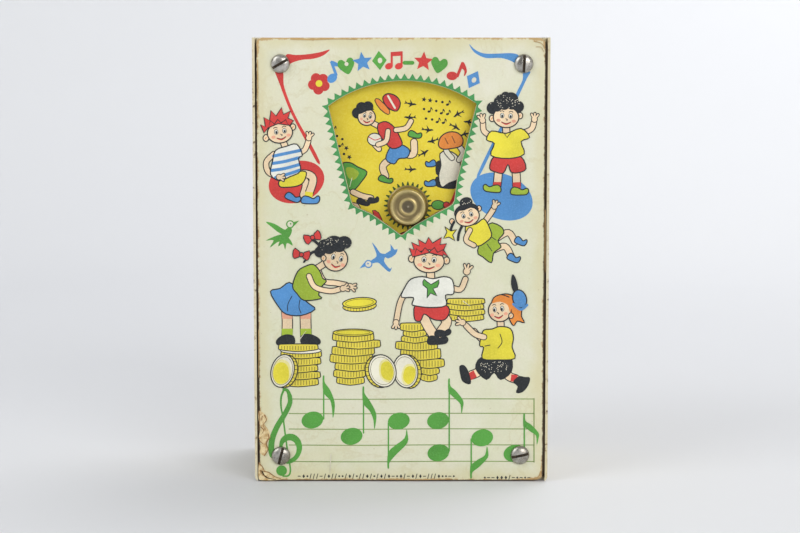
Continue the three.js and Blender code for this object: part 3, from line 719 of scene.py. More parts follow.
def slotted_screw(name, node, cx, cz, face_y, out, tilt, head=3.3):
    """Round-head slotted screw. out is -1 when the head faces -Y and 1 when it faces +Y; tilt is the slot's rise."""
    prof = [(0.0, 1.95)]
    for j in range(1, 13):
        t = j / 12 * math.pi / 2
        prof.append((head * math.sin(t) ** 1.0, 0.36 + 1.59 * math.cos(t) ** 0.85 if j < 12 else 0.36))
    prof += [(head, 0.2), (head - 0.08, 0.11), (1.7, 0.11), (1.7, 0.0), (1.62, -0.9)]
    y = -0.9
    while y > -11.2:           # thread
        prof += [(1.68, y - 0.18), (1.3, y - 0.55), (1.68, y - 0.92)]
        y -= 1.0
    prof += [(1.2, -12.4), (0.5, -13.9), (0.0, -14.3)]
    p = [(r * MM, face_y + out * h * MM) for r, h in prof]
    vv, ff = lathe_y(p, cx, cz, 64)
    ob = new_object(name, vv, ff, [M["nickel"]])
    recalc(ob)
    me = bpy.data.meshes.new("cut")
    bm = bmesh.new()
    bmesh.ops.create_cube(bm, size=1)
    bmesh.ops.scale(bm, vec=(0.009, 0.0021, 0.00095), verts=bm.verts)
    bmesh.ops.rotate(bm, cent=(0, 0, 0), matrix=Matrix.Rotation(-math.radians(tilt), 3, "Y"), verts=bm.verts)
    bmesh.ops.translate(bm, vec=(cx, face_y + out * 0.0022, cz), verts=bm.verts)
    bm.to_mesh(me)
    bm.free()
    cut = bpy.data.objects.new("cut", me)
    scene.collection.objects.link(cut)
    mod = ob.modifiers.new("slot", "BOOLEAN")
    mod.operation, mod.object, mod.solver = "DIFFERENCE", cut, "EXACT"
    bpy.context.view_layer.update()
    baked(ob)
    bpy.data.objects.remove(cut)
    # second slot: the painted shade for the slot and under the head
    ob.data.materials.append(M["grime"])
    bev = ob.modifiers.new("burr", "BEVEL")
    bev.width, bev.segments, bev.limit_method, bev.angle_limit = 0.00008, 2, "ANGLE", math.radians(40)
    bpy.context.view_layer.update()
    baked(ob)
    for gap in (6e-6, 3e-6):
        bm = bmesh.new()
        bm.from_mesh(ob.data)
        bmesh.ops.remove_doubles(bm, verts=bm.verts, dist=gap)
        sound = all(len(e.link_faces) == 2 for e in bm.edges) and all(v.link_faces for v in bm.verts)
        if sound:
            bm.to_mesh(ob.data)
        bm.free()
        if sound:
            break
    auto_smooth(ob, 40)
    c, sn = math.cos(math.radians(tilt)), math.sin(math.radians(tilt))
    # slot walls and floor, and the faces under the head at the board, get the painted shade
    for pl in ob.data.polygons:
        dx, dz = pl.center.x - cx, pl.center.z - cz
        across = -dx * sn + dz * c
        high = (pl.center.y - face_y) * out
        if abs(across) < 0.00049 and 0.0010 < high < 0.00205 and not (abs(pl.normal.y) > 0.8 and high > 0.0016):
            pl.material_index = 1
        elif high < 0.0001 and math.hypot(dx, dz) > 0.002:
            pl.material_index = 1
    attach(ob, "case")
    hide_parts(node)
    return ob


TILTS = {"ul": 30, "ur": 88, "ll": 76, "lr": 12}
for k, (cx, cz) in SCREWS.items():
    slotted_screw("panel_screw_head_" + k, "panel_screw_" + k, cx, cz, PANEL_Y, -1, TILTS[k])
    blo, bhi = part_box("back_screw_" + k)
    slotted_screw("back_screw_head_" + k, "back_screw_" + k, (blo.x + bhi.x) / 2, (blo.z + bhi.z) / 2,
                  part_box("back_plate")[1].y, 1, TILTS[k] * 1.7 + 20)

# ------------------------------------------------------------------ knob
klo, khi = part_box("knob")
KX, KZ = (klo.x + khi.x) / 2, (klo.z + khi.z) / 2
raw = [(0.0, -0.36), (0.3, -0.36), (0.42, -0.28), (0.7, -0.26), (1.6, -0.25), (2.15, -0.27), (2.35, -0.38), (2.55, -0.44), (2.75, -0.42),
       (3.05, -0.24), (3.4, -0.12), (3.85, -0.12),
       (4.3, -0.3), (4.8, -0.66), (5.2, -0.98), (5.45, -1.12), (5.7, -1.12), (6.0, -0.94), (6.24, -0.6), (6.36, -0.15),
       (6.38, 0.5), (6.34, 0.56), (6.34, 0.8), (6.38, 0.86), (6.38, 3.2), (6.42, 3.6), (6.62, 3.9), (7.05, 4.14), (7.18, 4.25),
       (7.2, 4.4), (7.18, 4.58), (7.1, 4.64), (2.06, 4.64), (2.06, -0.04), (0.0, -0.04)]
prof = [(r * MM, PANEL_Y + y * MM) for r, y in raw]
vv, ff = lathe_y(prof, KX, KZ, 128)
knob = new_object("turned_knob", vv, ff, M["knob"])
bm = bmesh.new()
bm.from_mesh(knob.data)
bmesh.ops.remove_doubles(bm, verts=bm.verts, dist=1e-7)
bmesh.ops.recalc_face_normals(bm, faces=bm.faces)
bm.to_mesh(knob.data)
bm.free()
auto_smooth(knob, 38)
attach(knob, "wheel_train")
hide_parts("knob")

# ------------------------------------------------------------------ carried-over nodes
ASSIGN = {
    "enamel": ["case_wrap"], "enamel_top": ["top_plate"], "enamel_back": ["back_plate"], "enamel_door": ["coin_door"],
    "wood": ["corner_post_ul", "corner_post_ur", "corner_post_ll", "corner_post_lr"],
    "disc": ["picture_disc"],
    "brass": ["disc_hub", "melody_drum", "click_wheel", "shaft_collar", "shaft_bush"],
    "spring": ["music_comb", "click_spring", "lever_spring"],
    "nickel": ["door_latch"],
    "steel": ["knob_shaft", "mechanism_plate", "comb_base", "comb_screw_front", "comb_screw_rear", "base_screw",
              "spring_block", "click_spring_screw", "coin_chute", "lever_bracket", "bracket_rivet_left",
              "bracket_rivet_right", "lever_pin", "coin_lever", "door_hinge_leaf", "door_hinge_pin",
              "leaf_rivet_lower", "leaf_rivet_upper"],
}
ASSIGN["steel"].remove("knob_shaft")
ASSIGN["shaft"] = ["knob_shaft"]
M["shaft"] = metal("browned_shaft", (132, 120, 100), (96, 86, 70), (0.4, 0.56), 600, (70, 60, 46), 0.6)
SLOT_OF = {"enamel": "case_enamel", "enamel_top": "case_enamel", "enamel_back": "case_enamel", "enamel_door": "case_enamel",
           "wood": "post_wood", "disc": "disc_card", "brass": "mechanism_brass", "spring": "spring_steel", "nickel": "screw_nickel",
           "steel": "plain_steel", "shaft": "plain_steel"}
BEVELS = {"case_wrap": 0.00022, "top_plate": 0.0002, "back_plate": 0.0002, "coin_door": 0.0002, "door_latch": 0.0002,
          "mechanism_plate": 0.00018, "coin_chute": 0.00018, "coin_lever": 0.00016, "comb_base": 0.0002,
          "door_hinge_leaf": 0.00014, "spring_block": 0.00015, "lever_bracket": 0.00014, "disc_hub": 0.00012,
          "shaft_collar": 0.00015, "corner_post_ul": 0.0003, "corner_post_ur": 0.0003, "corner_post_ll": 0.0003,
          "corner_post_lr": 0.0003, "shaft_bush": 0.00012, "click_wheel": 0.0001, "picture_disc": 0.0001, "base_screw": 0.0001,
          "comb_screw_front": 0.0001, "comb_screw_rear": 0.0001, "click_spring_screw": 0.0001, "door_hinge_pin": 0.0001,
          "lever_pin": 0.0001, "click_spring": 0.00006, "music_comb": 0.00006}


def closed_ok(bm):
    return all(len(e.link_faces) == 2 for e in bm.edges) and bm.calc_volume(signed=True) > 0


def finished(name, material, slot):
    """The node's own solid, welded into one skin, its edges eased and its round faces shaded smooth."""
    src = NODES[name].data

    def welded():
        b = bmesh.new()
        b.from_mesh(src)
        bmesh.ops.remove_doubles(b, verts=b.verts, dist=3e-7)
        bmesh.ops.dissolve_degenerate(b, edges=b.edges, dist=1e-8)
        bmesh.ops.recalc_face_normals(b, faces=b.faces)
        return b

    bm = welded()
    vol = bm.calc_volume(signed=True)
    width = BEVELS.get(name, 0)
    if width:
        flat = [e for e in bm.edges if len(e.link_faces) == 2 and e.calc_face_angle(0) < RAD0]
        bmesh.ops.dissolve_edges(bm, edges=flat, use_verts=False, use_face_split=False)
        if not closed_ok(bm) or abs(bm.calc_volume(signed=True) - vol) > 0.02 * vol:
            bm.free()
            bm = welded()
        sharp = [e for e in bm.edges if len(e.link_faces) == 2 and e.calc_face_angle(0) > math.radians(42)]
        bmesh.ops.bevel(bm, geom=sharp, offset=width, offset_type="OFFSET", segments=2, profile=0.5, affect="EDGES", clamp_overlap=True)
        if not closed_ok(bm) or abs(bm.calc_volume(signed=True) - vol) > 0.06 * vol:
            bm.free()
            bm = welded()
    lo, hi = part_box(name)
    if any(v.co[i] < lo[i] - 1e-6 or v.co[i] > hi[i] + 1e-6 for v in bm.verts for i in range(3)):
        bm.free()
        bm = welded()
    me = bpy.data.meshes.new(name + "_finished")
    bm.to_mesh(me)
    bm.free()
    me.materials.append(material)
    ob = bpy.data.objects.new(name + "_finished", me)
    scene.collection.objects.link(ob)
    auto_smooth(ob, 36)
    even = ob.modifiers.new("even_faces", "WEIGHTED_NORMAL")
    even.mode, even.weight, even.keep_sharp = "FACE_AREA", 80, True
    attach(ob, NODES[name]["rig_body"])
    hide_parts(name)
    return ob


RAD0 = math.radians(0.05)
for mat, names in ASSIGN.items():
    for n in names:
        finished(n, M[mat], SLOT_OF[mat])

# ------------------------------------------------------------------ printed artwork
# Every shape is a thin closed layer of ink on the board or on the disc, of this model's own generic design.
RAD = math.radians
INK_BASE, INK_STEP, INK_SINK = 0.00002, 0.000004, 0.00001


class Art:
    def __init__(self, prefix, plane, body, slot, on_disc=False):
        self.prefix, self.plane, self.body, self.slot, self.on_disc = prefix, plane, body, slot, on_disc
        self.parts, self.k = {}, 0
        self.turn, self.mid = 0.0, (0.0, 0.0)
        self.swap = {}

    def at(self, p):
        x, z = sheet_point(p[0], p[1], self.plane)
        if self.turn:
            c, s = math.cos(self.turn), math.sin(self.turn)
            dx, dz = x - self.mid[0], z - self.mid[1]
            x, z = self.mid[0] + c * dx - s * dz, self.mid[1] + s * dx + c * dz
        return (x, z)

    def begin(self, k=0):
        self.k = k

    def _height(self):
        h = self.plane - INK_BASE - INK_STEP * self.k
        self.k += 1
        return h

    def prism_xz(self, colour, loops):
        loops = [list(l) for l in loops]
        if area2(loops[0]) < 0:
            loops[0].reverse()
        for l in loops[1:]:
            if area2(l) > 0:
                l.reverse()
        y = self._height()
        verts, faces = self.parts.setdefault(self.swap.get(colour, colour), ([], []))
        s = len(verts)
        n = sum(len(l) for l in loops)
        for l in loops:
            verts.extend((x, y, z) for x, z in l)
        for l in loops:
            verts.extend((x, self.plane + INK_SINK, z) for x, z in l)
        for a, b, c in triangles(loops):
            faces.append((s + a, s + b, s + c))
            faces.append((s + n + a, s + n + c, s + n + b))
        off = s
        for l in loops:
            m = len(l)
            for i in range(m):
                a, b = off + i, off + (i + 1) % m
                faces.append((a, a + n, b + n, b))
            off += m

    def fill(self, colour, pts, smooth=True, n=4):
        p = catmull(pts, n) if smooth else pts
        self.prism_xz(colour, [[self.at(q) for q in p]])

    def ell(self, colour, cx, cy, rx, ry=None, rot=0, seg=24):
        self.prism_xz(colour, [[self.at(q) for q in oval(cx, cy, rx, ry, rot, seg)]])

    def line(self, colour, pts, w, smooth=True, w2=None, closed=False, n=5):
        p = catmull(pts, n, closed) if smooth else list(pts)
        w2 = w if w2 is None else w2
        m = len(p)
        left, right = [], []
        for i in range(m):
            a = p[i - 1] if (i or closed) else p[i]
            b = p[(i + 1) % m] if (i < m - 1 or closed) else p[i]
            d = Vector((b[0] - a[0], b[1] - a[1]))
            d = d.normalized() if d.length > 1e-9 else Vector((1, 0))
            hw = (w + (w2 - w) * i / max(1, m - 1)) / 2
            left.append((p[i][0] - d.y * hw, p[i][1] + d.x * hw))
            right.append((p[i][0] + d.y * hw, p[i][1] - d.x * hw))
        y = self._height()
        verts, faces = self.parts.setdefault(self.swap.get(colour, colour), ([], []))
        s = len(verts)
        if closed:
            ring = [self.at(q) for q in left] + [self.at(q) for q in right]
            for yy in (y, self.plane + INK_SINK):
                verts.extend((x, yy, z) for x, z in ring)
            F, B = s, s + 2 * m
            for i in range(m):
                j = (i + 1) % m
                faces.append((F + i, F + j, F + m + j, F + m + i))
                faces.append((B + i, B + m + i, B + m + j, B + j))
                faces.append((F + i, B + i, B + j, F + j))
                faces.append((F + m + i, F + m + j, B + m + j, B + m + i))
            return

        def cap(c, frm, to):
            a = math.atan2(frm[1] - c[1], frm[0] - c[0])
            r = math.dist(c, frm)
            steps = 4 if r > 1 else 2
            return [(c[0] + r * math.cos(a - math.pi * k / (steps + 1)), c[1] + r * math.sin(a - math.pi * k / (steps + 1)))
                    for k in range(1, steps + 1)]

        e1 = cap(p[-1], left[-1], right[-1])
        e0 = cap(p[0], right[0], left[0])
        ring = [self.at(q) for q in left + e1 + right[::-1] + e0]
        R = len(ring)
        for yy in (y, self.plane + INK_SINK):
            verts.extend((x, yy, z) for x, z in ring)
        ce = len(e1)
        top = []
        for i in range(m - 1):
            top.append((i, i + 1, 2 * m + ce - 2 - i, 2 * m + ce - 1 - i))
        top.append(tuple([m - 1] + list(range(m, m + ce)) + [m + ce]))
        top.append(tuple([2 * m + ce - 1] + list(range(2 * m + ce, R)) + [0]))
        for t in top:
            faces.append(tuple(s + q for q in t))
            faces.append(tuple(s + R + q for q in reversed(t)))
        for i in range(R):
            j = (i + 1) % R
            faces.append((s + i, s + R + i, s + R + j, s + j))

    # composite marks
    def shape(self, colour, pts, w=1.15, smooth=True, n=4, edge="black"):
        self.fill(colour, pts, smooth, n)
        self.line(edge, catmull(pts, n) if smooth else pts, w, smooth=False, closed=True)

    def oval(self, colour, cx, cy, rx, ry=None, rot=0, w=1.15, seg=28, edge="black"):
        p = oval(cx, cy, rx, ry, rot, seg)
        self.fill(colour, p, smooth=False)
        self.line(edge, p, w, smooth=False, closed=True)

    def limb(self, pts, w, colour="skin", edge=1.0, w2=None):
        w2 = w if w2 is None else w2
        self.line("black", pts, w + edge * 1.9, w2=w2 + edge * 1.9)
        self.line(colour, pts, w, w2=w2)

    def hand(self, x, y, ang, r=2.9):
        """A mitten-like hand with three finger marks, opening towards ang."""
        for d in (-38, -5, 28):
            a = RAD(ang + d)
            self.line("black", [(x, y), (x + 2.3 * r * math.cos(a), y + 2.3 * r * math.sin(a))], 3.3, smooth=False)
        self.ell("black", x, y, r + 0.8)
        for d in (-38, -5, 28):
            a = RAD(ang + d)
            self.line("skin", [(x, y), (x + 2.25 * r * math.cos(a), y + 2.25 * r * math.sin(a))], 1.7, smooth=False)
        self.ell("skin", x, y, r)

    def shoe(self, colour, heel, toe, h=7.0, up=2.0):
        """A rounded shoe from heel to toe, with the toe turned up a little."""
        d = Vector((toe[0] - heel[0], toe[1] - heel[1]))
        L = d.length
        d.normalize()
        nrm = Vector((d.y, -d.x))
        if nrm.y > 0:
            nrm = -nrm

        def q(a, b):
            return (heel[0] + d.x * a * L + nrm.x * b, heel[1] + d.y * a * L + nrm.y * b)

        self.shape(colour, [q(0, 0.4), q(-0.03, h * 0.62), q(0.14, h * 0.98), q(0.42, h * 0.86), q(0.66, h * 0.62),
                            q(0.92, h * 0.66 + up), q(1.03, h * 0.3 + up), q(0.9, 0.1), q(0.5, -0.5)], 1.1)

    def face(self, cx, cy, rx, ry, rot=0, look=0.0, merry=1.0):
        """A plain, friendly face on even proportions: dots for eyes, a short nose, a curved mouth and round cheeks."""
        c, s = math.cos(RAD(rot)), math.sin(RAD(rot))

        def q(x, y):
            x, y = x * rx, y * ry
            return (cx + c * x - s * y, cy + s * x + c * y)

        self.oval("skin", cx, cy, rx, ry, rot, 1.15, 32)
        for e in (-1, 1):
            x, y = q(look * 0.22 + e * 0.6, 0.34)
            self.ell("pink", x, y, rx * 0.17, ry * 0.15, rot, 14)
            x, y = q(look * 0.22 + e * 0.33, -0.14)
            self.ell("white", x, y, rx * 0.15, ry * 0.24, rot, 14)
            self.line("black", oval(x, y, rx * 0.15, ry * 0.24, rot, 14), 0.5, smooth=False, closed=True)
            x, y = q(look * 0.28 + e * 0.33, -0.09)
            self.ell("black", x, y, rx * 0.085, ry * 0.15, rot, 12)
            self.line("black", [q(look * 0.2 + e * 0.2, -0.5), q(look * 0.2 + e * 0.34, -0.6), q(look * 0.2 + e * 0.5, -0.52)], 0.7)
        self.line("black", [q(look * 0.4 - 0.05, 0.14), q(look * 0.4 + 0.08, 0.24), q(look * 0.4 + 0.02, 0.3)], 0.7)
        self.line("red", [q(look * 0.3 - 0.34, 0.5), q(look * 0.3, 0.5 + 0.18 * merry), q(look * 0.3 + 0.34, 0.48)], 1.1)
        self.line("black", [q(look * 0.3 - 0.36, 0.46), q(look * 0.3, 0.46 + 0.14 * merry), q(look * 0.3 + 0.36, 0.44)], 0.6)

    def ear(self, x, y, r=3.0):
        self.oval("skin", x, y, r * 0.85, r, 0, 1.0, 16)
        self.line("orange", [(x - 0.7, y + 1), (x + 0.3, y - 0.8)], 0.7, smooth=False)

    def star(self, colour, cx, cy, r, rot=0, inner=0.45, edge=None):
        p = []
        for k in range(10):
            a = RAD(rot - 90 + 36 * k)
            q = r if k % 2 == 0 else r * inner
            p.append((cx + q * math.cos(a), cy + q * math.sin(a)))
        self.fill(colour, p, smooth=False)
        if edge:
            self.line(edge, p, 0.9, smooth=False, closed=True)

    def speckle(self, colour, cx, cy, rx, ry, n, seed, r=0.42):
        """Tiny dots left open in a solid area, as a coarse print shows them."""
        g = random.Random(seed)
        k0 = self.k
        for _ in range(n):
            a, q = g.uniform(0, 2 * math.pi), math.sqrt(g.random())
            self.k = k0
            self.ell(colour, cx + rx * q * math.cos(a), cy + ry * q * math.sin(a), r * g.uniform(0.7, 1.25), seg=6)
        self.k = k0 + 1

    def placed(self, cx, cy, rot, k=1.0):
        c, s = math.cos(RAD(rot)), math.sin(RAD(rot))
        return lambda x, y: (cx + k * (c * x - s * y), cy + k * (s * x + c * y))

    def heart(self, colour, cx, cy, k, rot=0):
        q = self.placed(cx, cy, rot, k)
        self.fill(colour, [q(0, 9), q(-6, 3.5), q(-9, -2), q(-7.4, -7), q(-3.6, -7.6), q(-0.5, -4.6), q(0.5, -4.6), q(3.6, -7.6),
                           q(7.4, -7), q(9, -2), q(6, 3.5)])

    def note(self, colour, cx, cy, k, rot=0, flag=True):
        q = self.placed(cx, cy, rot, k)
        x, y = q(-3, 6)
        self.ell(colour, x, y, 5.0 * k, 3.9 * k, rot - 20)
        self.fill(colour, [q(0.2, 6), q(0.2, -9), q(2.8, -9), q(2.8, 5)], smooth=False)
        if flag:
            self.fill(colour, [q(1.2, -9.4), q(4.5, -7.6), q(8, -2.6), q(7.2, 2.2), q(5.6, -2.4), q(1.4, -4.4)])

    def pair(self, colour, cx, cy, k, rot=0):
        q = self.placed(cx, cy, rot, k)
        for dx in (-5.6, 4.8):
            x, y = q(dx - 1.8, 6)
            self.ell(colour, x, y, 4.2 * k, 3.3 * k, rot - 20)
            self.fill(colour, [q(dx, 6), q(dx, -8), q(dx + 2.2, -8), q(dx + 2.2, 5)], smooth=False)
        self.fill(colour, [q(-5.6, -8.8), q(7, -9.8), q(7, -5.2), q(-5.6, -4.4)], smooth=False)

    def flower(self, colour, cx, cy, k, rot=0):
        for j in range(5):
            a = RAD(rot + 72 * j - 90)
            self.ell(colour, cx + 5 * k * math.cos(a), cy + 5 * k * math.sin(a), 4.3 * k)
        self.ell("yellow", cx, cy, 2.8 * k)

    def diamond(self, colour, cx, cy, k, rot=0):
        q = self.placed(cx, cy, rot, k)
        self.fill(colour, [q(0, -9.5), q(7.2, 0), q(0, 9.5), q(-7.2, 0)], smooth=False)

    def bird(self, colour, cx, cy, k, rot=0, flip=1):
        q0 = self.placed(cx, cy, rot, k)

        def q(x, y):
            return q0(x * flip, y)

        self.fill(colour, [q(-5.8, 0.6), q(-2, -0.9), q(1.6, -1.5), q(4.2, -2.3), q(6.6, -1.4), q(4.4, -0.2), q(2.0, 1.0), q(-2, 1.4)])
        self.fill(colour, [q(-0.6, -0.4), q(-3.4, -5.6), q(1.8, -1.0)], smooth=False)
        self.fill(colour, [q(-0.6, 0.6), q(-1.4, 5.0), q(2.4, 0.5)], smooth=False)
        self.fill(colour, [q(-4.6, 0.2), q(-8.2, -1.6), q(-7.0, 0.7), q(-8.4, 2.6), q(-4.6, 1.2)], smooth=False)

    def finish(self):
        made = []
        for colour, (verts, faces) in sorted(self.parts.items()):
            mt = M["torn"] if colour == "torn" else ink(colour, self.on_disc)
            ob = new_object(self.prefix + colour, verts, faces, mt)
            recalc(ob)
            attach(ob, self.body)
            made.append(ob)
        return made


def oval(cx, cy, rx, ry=None, rot=0, seg=24):
    ry = rx if ry is None else ry
    c, s = math.cos(RAD(rot)), math.sin(RAD(rot))
    out = []
    for k in range(seg):
        a = 2 * math.pi * k / seg
        x, y = rx * math.cos(a), ry * math.sin(a)
        out.append((cx + c * x - s * y, cy + s * x + c * y))
    return out


A = Art("panel_ink_", PANEL_Y, "case", "printed_board")

# toothed border round the window
wloop = list(WINDOW) if area2(WINDOW) > 0 else list(reversed(WINDOW))
out_near = [_shift(wloop, i, -0.00012) for i in range(len(wloop))]
out_far = [_shift(wloop, i, -0.00075) for i in range(len(wloop))]
A.begin(0)
A.prism_xz("border", [out_far, out_near])
per = [0.0]
for p, q in zip(out_far, out_far[1:] + out_far[:1]):
    per.append(per[-1] + math.dist(p, q))
teeth = int(round(per[-1] / 0.00272))


def on_loop(loop, acc, d):
    d = d % acc[-1]
    for i in range(len(loop)):
        if acc[i + 1] >= d:
            t = (d - acc[i]) / max(1e-12, acc[i + 1] - acc[i])
            p, q = loop[i], loop[(i + 1) % len(loop)]
            v = Vector((q[0] - p[0], q[1] - p[1])).normalized()
            return (p[0] + (q[0] - p[0]) * t, p[1] + (q[1] - p[1]) * t), v
    return loop[0], Vector((1, 0))


for k in range(teeth):
    d = per[-1] * k / teeth
    (x0, z0), v0 = on_loop(out_far, per, d)
    (x2, z2), v2 = on_loop(out_far, per, d + per[-1] / teeth * 0.94)
    (x1, z1), v1 = on_loop(out_far, per, d + per[-1] / teeth * 0.5)
    vm = (v0 + v2).normalized()
    nx, nz = vm.y, -vm.x
    A.k = 1
    A.prism_xz("border", [[(x0 - nx * 0.0003, z0 - nz * 0.0003), (x2 - nx * 0.0003, z2 - nz * 0.0003),
                           (x1 + nx * 0.00178, z1 + nz * 0.00178)]])

# arc of bright shapes above the window
A.begin(0)
A.flower("red", 319, 83.5, 1.2, -30)
A.note("blue", 333, 71, 1.08, -20)
A.heart("green", 346.5, 66, 0.94, -14)
A.star("blue", 362.5, 62, 10.4, -8)
A.diamond("green", 379.4, 60.5, 1.02, -4)
A.pair("red", 396, 60.5, 0.95, 0)
A.line("green", [(404.5, 62.8), (412.5, 62.8)], 3.8, smooth=False)
A.star("red", 423.5, 61.5, 10.0, 4)
A.heart("green", 439, 65, 0.92, 12)
A.note("red", 457.6, 71, 1.1, 22)
A.diamond("blue", 473.4, 79.6, 1.02, 28)
A.ell("fade", 346.5, 64.0, 2.0)
A.ell("fade", 380, 60.5, 2.3, 2.8)
A.ell("fade", 474, 80, 2.2, 2.8, 28)

# the two great notes
A.begin(0)
A.fill("red", [(286, 54.8), (296, 55), (308, 54.2), (320, 52.2), (329.8, 49.6), (323, 55.6), (313, 58.8), (302, 59.8), (292, 62.8), (286, 67)], n=4)
A.fill("red", [(274.6, 70.5), (279, 72.5), (283.2, 72), (283.6, 84), (287.2, 96), (292.8, 110), (299.8, 124), (308.4, 139), (319.6, 161),
               (317.0, 162.4), (305.4, 140.6), (297, 125), (290, 111), (284.4, 97), (279.6, 84)], n=3)
A.ell("red", 296.5, 182, 28.4, 20.6, -17, 48)
A.fill("blue", [(469.4, 44.2), (475, 49.6), (484, 53.4), (497, 53.6), (512, 53.2), (519, 56), (519.6, 66), (512, 61.4), (501, 58), (486, 58), (476, 53.6), (471.6, 49)], n=4)
A.fill("blue", [(523.4, 73), (530.4, 71.6), (526.6, 79), (519.6, 94), (508.6, 118), (495.2, 144), (480, 175), (477.4, 174), (492.4, 142.4), (505.8, 116), (516.8, 92), (522.6, 80)], n=3)
A.ell("blue", 501.5, 196.5, 32.4, 22.4, 22, 48)


def spiky(A, colour, pts):
    A.shape(colour, pts, 1.1, smooth=False)


# boy perched on the red note
A.begin(6)
A.limb([(299, 153), (305, 149.5), (308.4, 141)], 4.4)
A.hand(308.8, 138, -70, 2.5)
A.limb([(288, 181), (300, 178), (306, 184), (303.5, 195)], 6.6)
A.limb([(292, 177), (304, 173.6), (313, 178.4), (309.2, 193)], 6.8)
A.fill("yellow", [(305.4, 191.4), (313, 192.4), (312.2, 198), (304.2, 197.4)], smooth=False)
A.shoe("blue", (302, 203.4), (319.4, 203.2), 7.6, 2.4)
A.shoe("blue", (285, 198), (299, 203), 7.0, 1.6)
A.shape("yellow", [(279.3, 181), (289, 176.8), (300, 171.4), (306.4, 172.6), (303.6, 182), (297, 186), (287, 187.2), (280, 186.6)], n=3)
A.limb([(274, 154), (266.4, 162), (268.4, 172), (277.6, 176.4)], 4.6)
A.limb([(282, 139), (286.6, 150)], 5.4)
A.fill("white", [(275.6, 150.4), (286, 146.4), (296.8, 144.2), (302.4, 155), (298.4, 158.4), (300.6, 171), (290, 176.6), (279.4, 180.6), (270.6, 174.4), (272.6, 161)], n=3)
for p in ([(273.6, 156), (286, 153.4), (300.4, 150.4)], [(272.8, 163.4), (285, 161.4), (298.6, 157.8)], [(272, 170.4), (285, 168.4), (299, 164.6)],
          [(275.6, 177.6), (287, 174.4), (299.6, 170.2)]):
    A.line("blue", p, 3.2)
A.line("black", catmull([(275.6, 150.4), (286, 146.4), (296.8, 144.2), (302.4, 155), (298.4, 158.4), (300.6, 171), (290, 176.6), (279.4, 180.6), (270.6, 174.4), (272.6, 161)], 3), 1.15, smooth=False, closed=True)
A.hand(279, 177, 10, 2.4)
A.ear(266, 138, 3.4)
A.ear(293, 127, 3.2)
spiky(A, "red", [(264, 133), (260.6, 124.6), (265.4, 126.6), (264, 117.4), (269.6, 120.4), (271, 110.4), (276, 116), (281.6, 107.6), (283.4, 114.4),
                 (290.4, 111), (288, 118), (293.6, 120.6), (289.4, 126), (278, 124), (268, 128)])
A.face(280, 132.8, 12.6, 10.2, -8, 0.2)
spiky(A, "red", [(268.6, 127.6), (270.4, 120.6), (274.6, 124.2), (277.6, 119.4), (281.2, 123), (285.8, 119.6), (288, 125.2), (278, 123.6)])

# boy with raised arms on the blue note
A.begin(6)
A.limb([(491, 136), (484, 131), (483, 123)], 4.6)
A.hand(482.6, 120.4, -100, 2.6)
A.limb([(523, 133), (531.4, 129), (534, 122)], 4.6)
A.hand(534.4, 119.4, -80, 2.6)
A.limb([(498.6, 169), (498, 177), (497, 186)], 7)
A.limb([(515.6, 169), (516.4, 177), (516.6, 186)], 7)
A.fill("red", [(493.4, 182), (501, 182), (500.4, 188.4), (492.8, 188)], smooth=False)
A.fill("red", [(512.8, 182.4), (520.4, 182), (520.8, 188.2), (513, 188.8)], smooth=False)
A.shoe("lime", (499.8, 192.6), (483.2, 190.6), 7.4, 1.6)
A.shoe("lime", (511.4, 194.6), (528.2, 194.4), 7.6, 1.2)
A.shape("red", [(494, 156.6), (507, 158.4), (521, 156.8), (526, 168.6), (518.6, 172.6), (511, 172), (508, 164.4), (503.4, 173), (495.6, 172), (489.6, 168.2)], n=3)
A.limb([(506, 122), (506.4, 136)], 6.2)
A.shape("yellow", [(491.6, 131), (506, 133.4), (521, 128.4), (529.6, 137.4), (521, 141.6), (524.2, 154), (509, 158.4), (491, 155.4), (494.4, 143.4), (486.6, 139.8)], n=3)
A.line("black", [(504.6, 133.8), (507, 137.6), (510.4, 133)], 0.9, smooth=False)
A.ear(492, 118.4, 3.2)
A.ear(520, 115.6, 3.2)
for x, y, r in ((502, 102.6, 8.4), (492.8, 108, 6.2), (518, 106.6, 6.0), (511, 99.6, 7.4), (505.6, 96.2, 4.6)):
    A.ell("black", x, y, r, seg=18)
A.face(506, 117.2, 12.8, 10.4, 3, 0.1)
for x, y, r in ((497, 108.6, 4.4), (504, 106.6, 4.8), (512, 106.4, 4.6)):
    A.ell("black", x, y, r, r * 0.7, seg=16)
A.speckle("fade", 505, 101.6, 15, 6.4, 46, 5)

# tumbling girl
A.begin(4)
A.limb([(497, 238), (508.4, 232.6), (515, 242)], 5.6)
A.limb([(493, 250), (505, 246.4), (511, 256)], 5.6)
A.shoe("blue", (514.4, 242.4), (525.2, 246.2), 7.0, 2.0)
A.shoe("blue", (507, 259), (518.6, 263.2), 7.0, 2.0)
A.limb([(483, 224), (489.6, 215), (493.4, 209)], 4.6)
A.hand(494.4, 206.4, -60, 2.5)
A.shape("lime", [(488, 224.4), (500.4, 226.2), (503.8, 233), (498, 240.6), (501, 247), (493.6, 253), (491.4, 262.6), (483, 257), (477.6, 250.4)], n=3)
A.line("black", [(490, 236), (496, 240)], 0.8)
A.line("black", [(487, 244), (492, 251)], 0.8)
A.shape("yellow", [(465.4, 227), (476, 224), (484, 218.8), (489.6, 228), (491.4, 236.4), (485, 242.6), (478, 246), (468.6, 241.4)], n=3)
A.limb([(470, 230), (466, 240), (474, 245.4)], 4.2)
A.oval("black", 466, 202.6, 6.2, 5.0, -15, 0.8)
A.ear(452, 221.4, 2.8)
A.ear(479, 208.4, 2.8)
A.line("black", [(454, 222), (451, 229), (452, 236)], 2.6)
A.line("black", [(462, 226), (459, 233), (458, 240)], 2.6)
A.shape("yellow", [(444.6, 226.6), (451, 231), (456.6, 229.4), (452.6, 235), (455, 240.6), (449, 237), (443.6, 238.4), (447, 232)], 0.9, n=2)
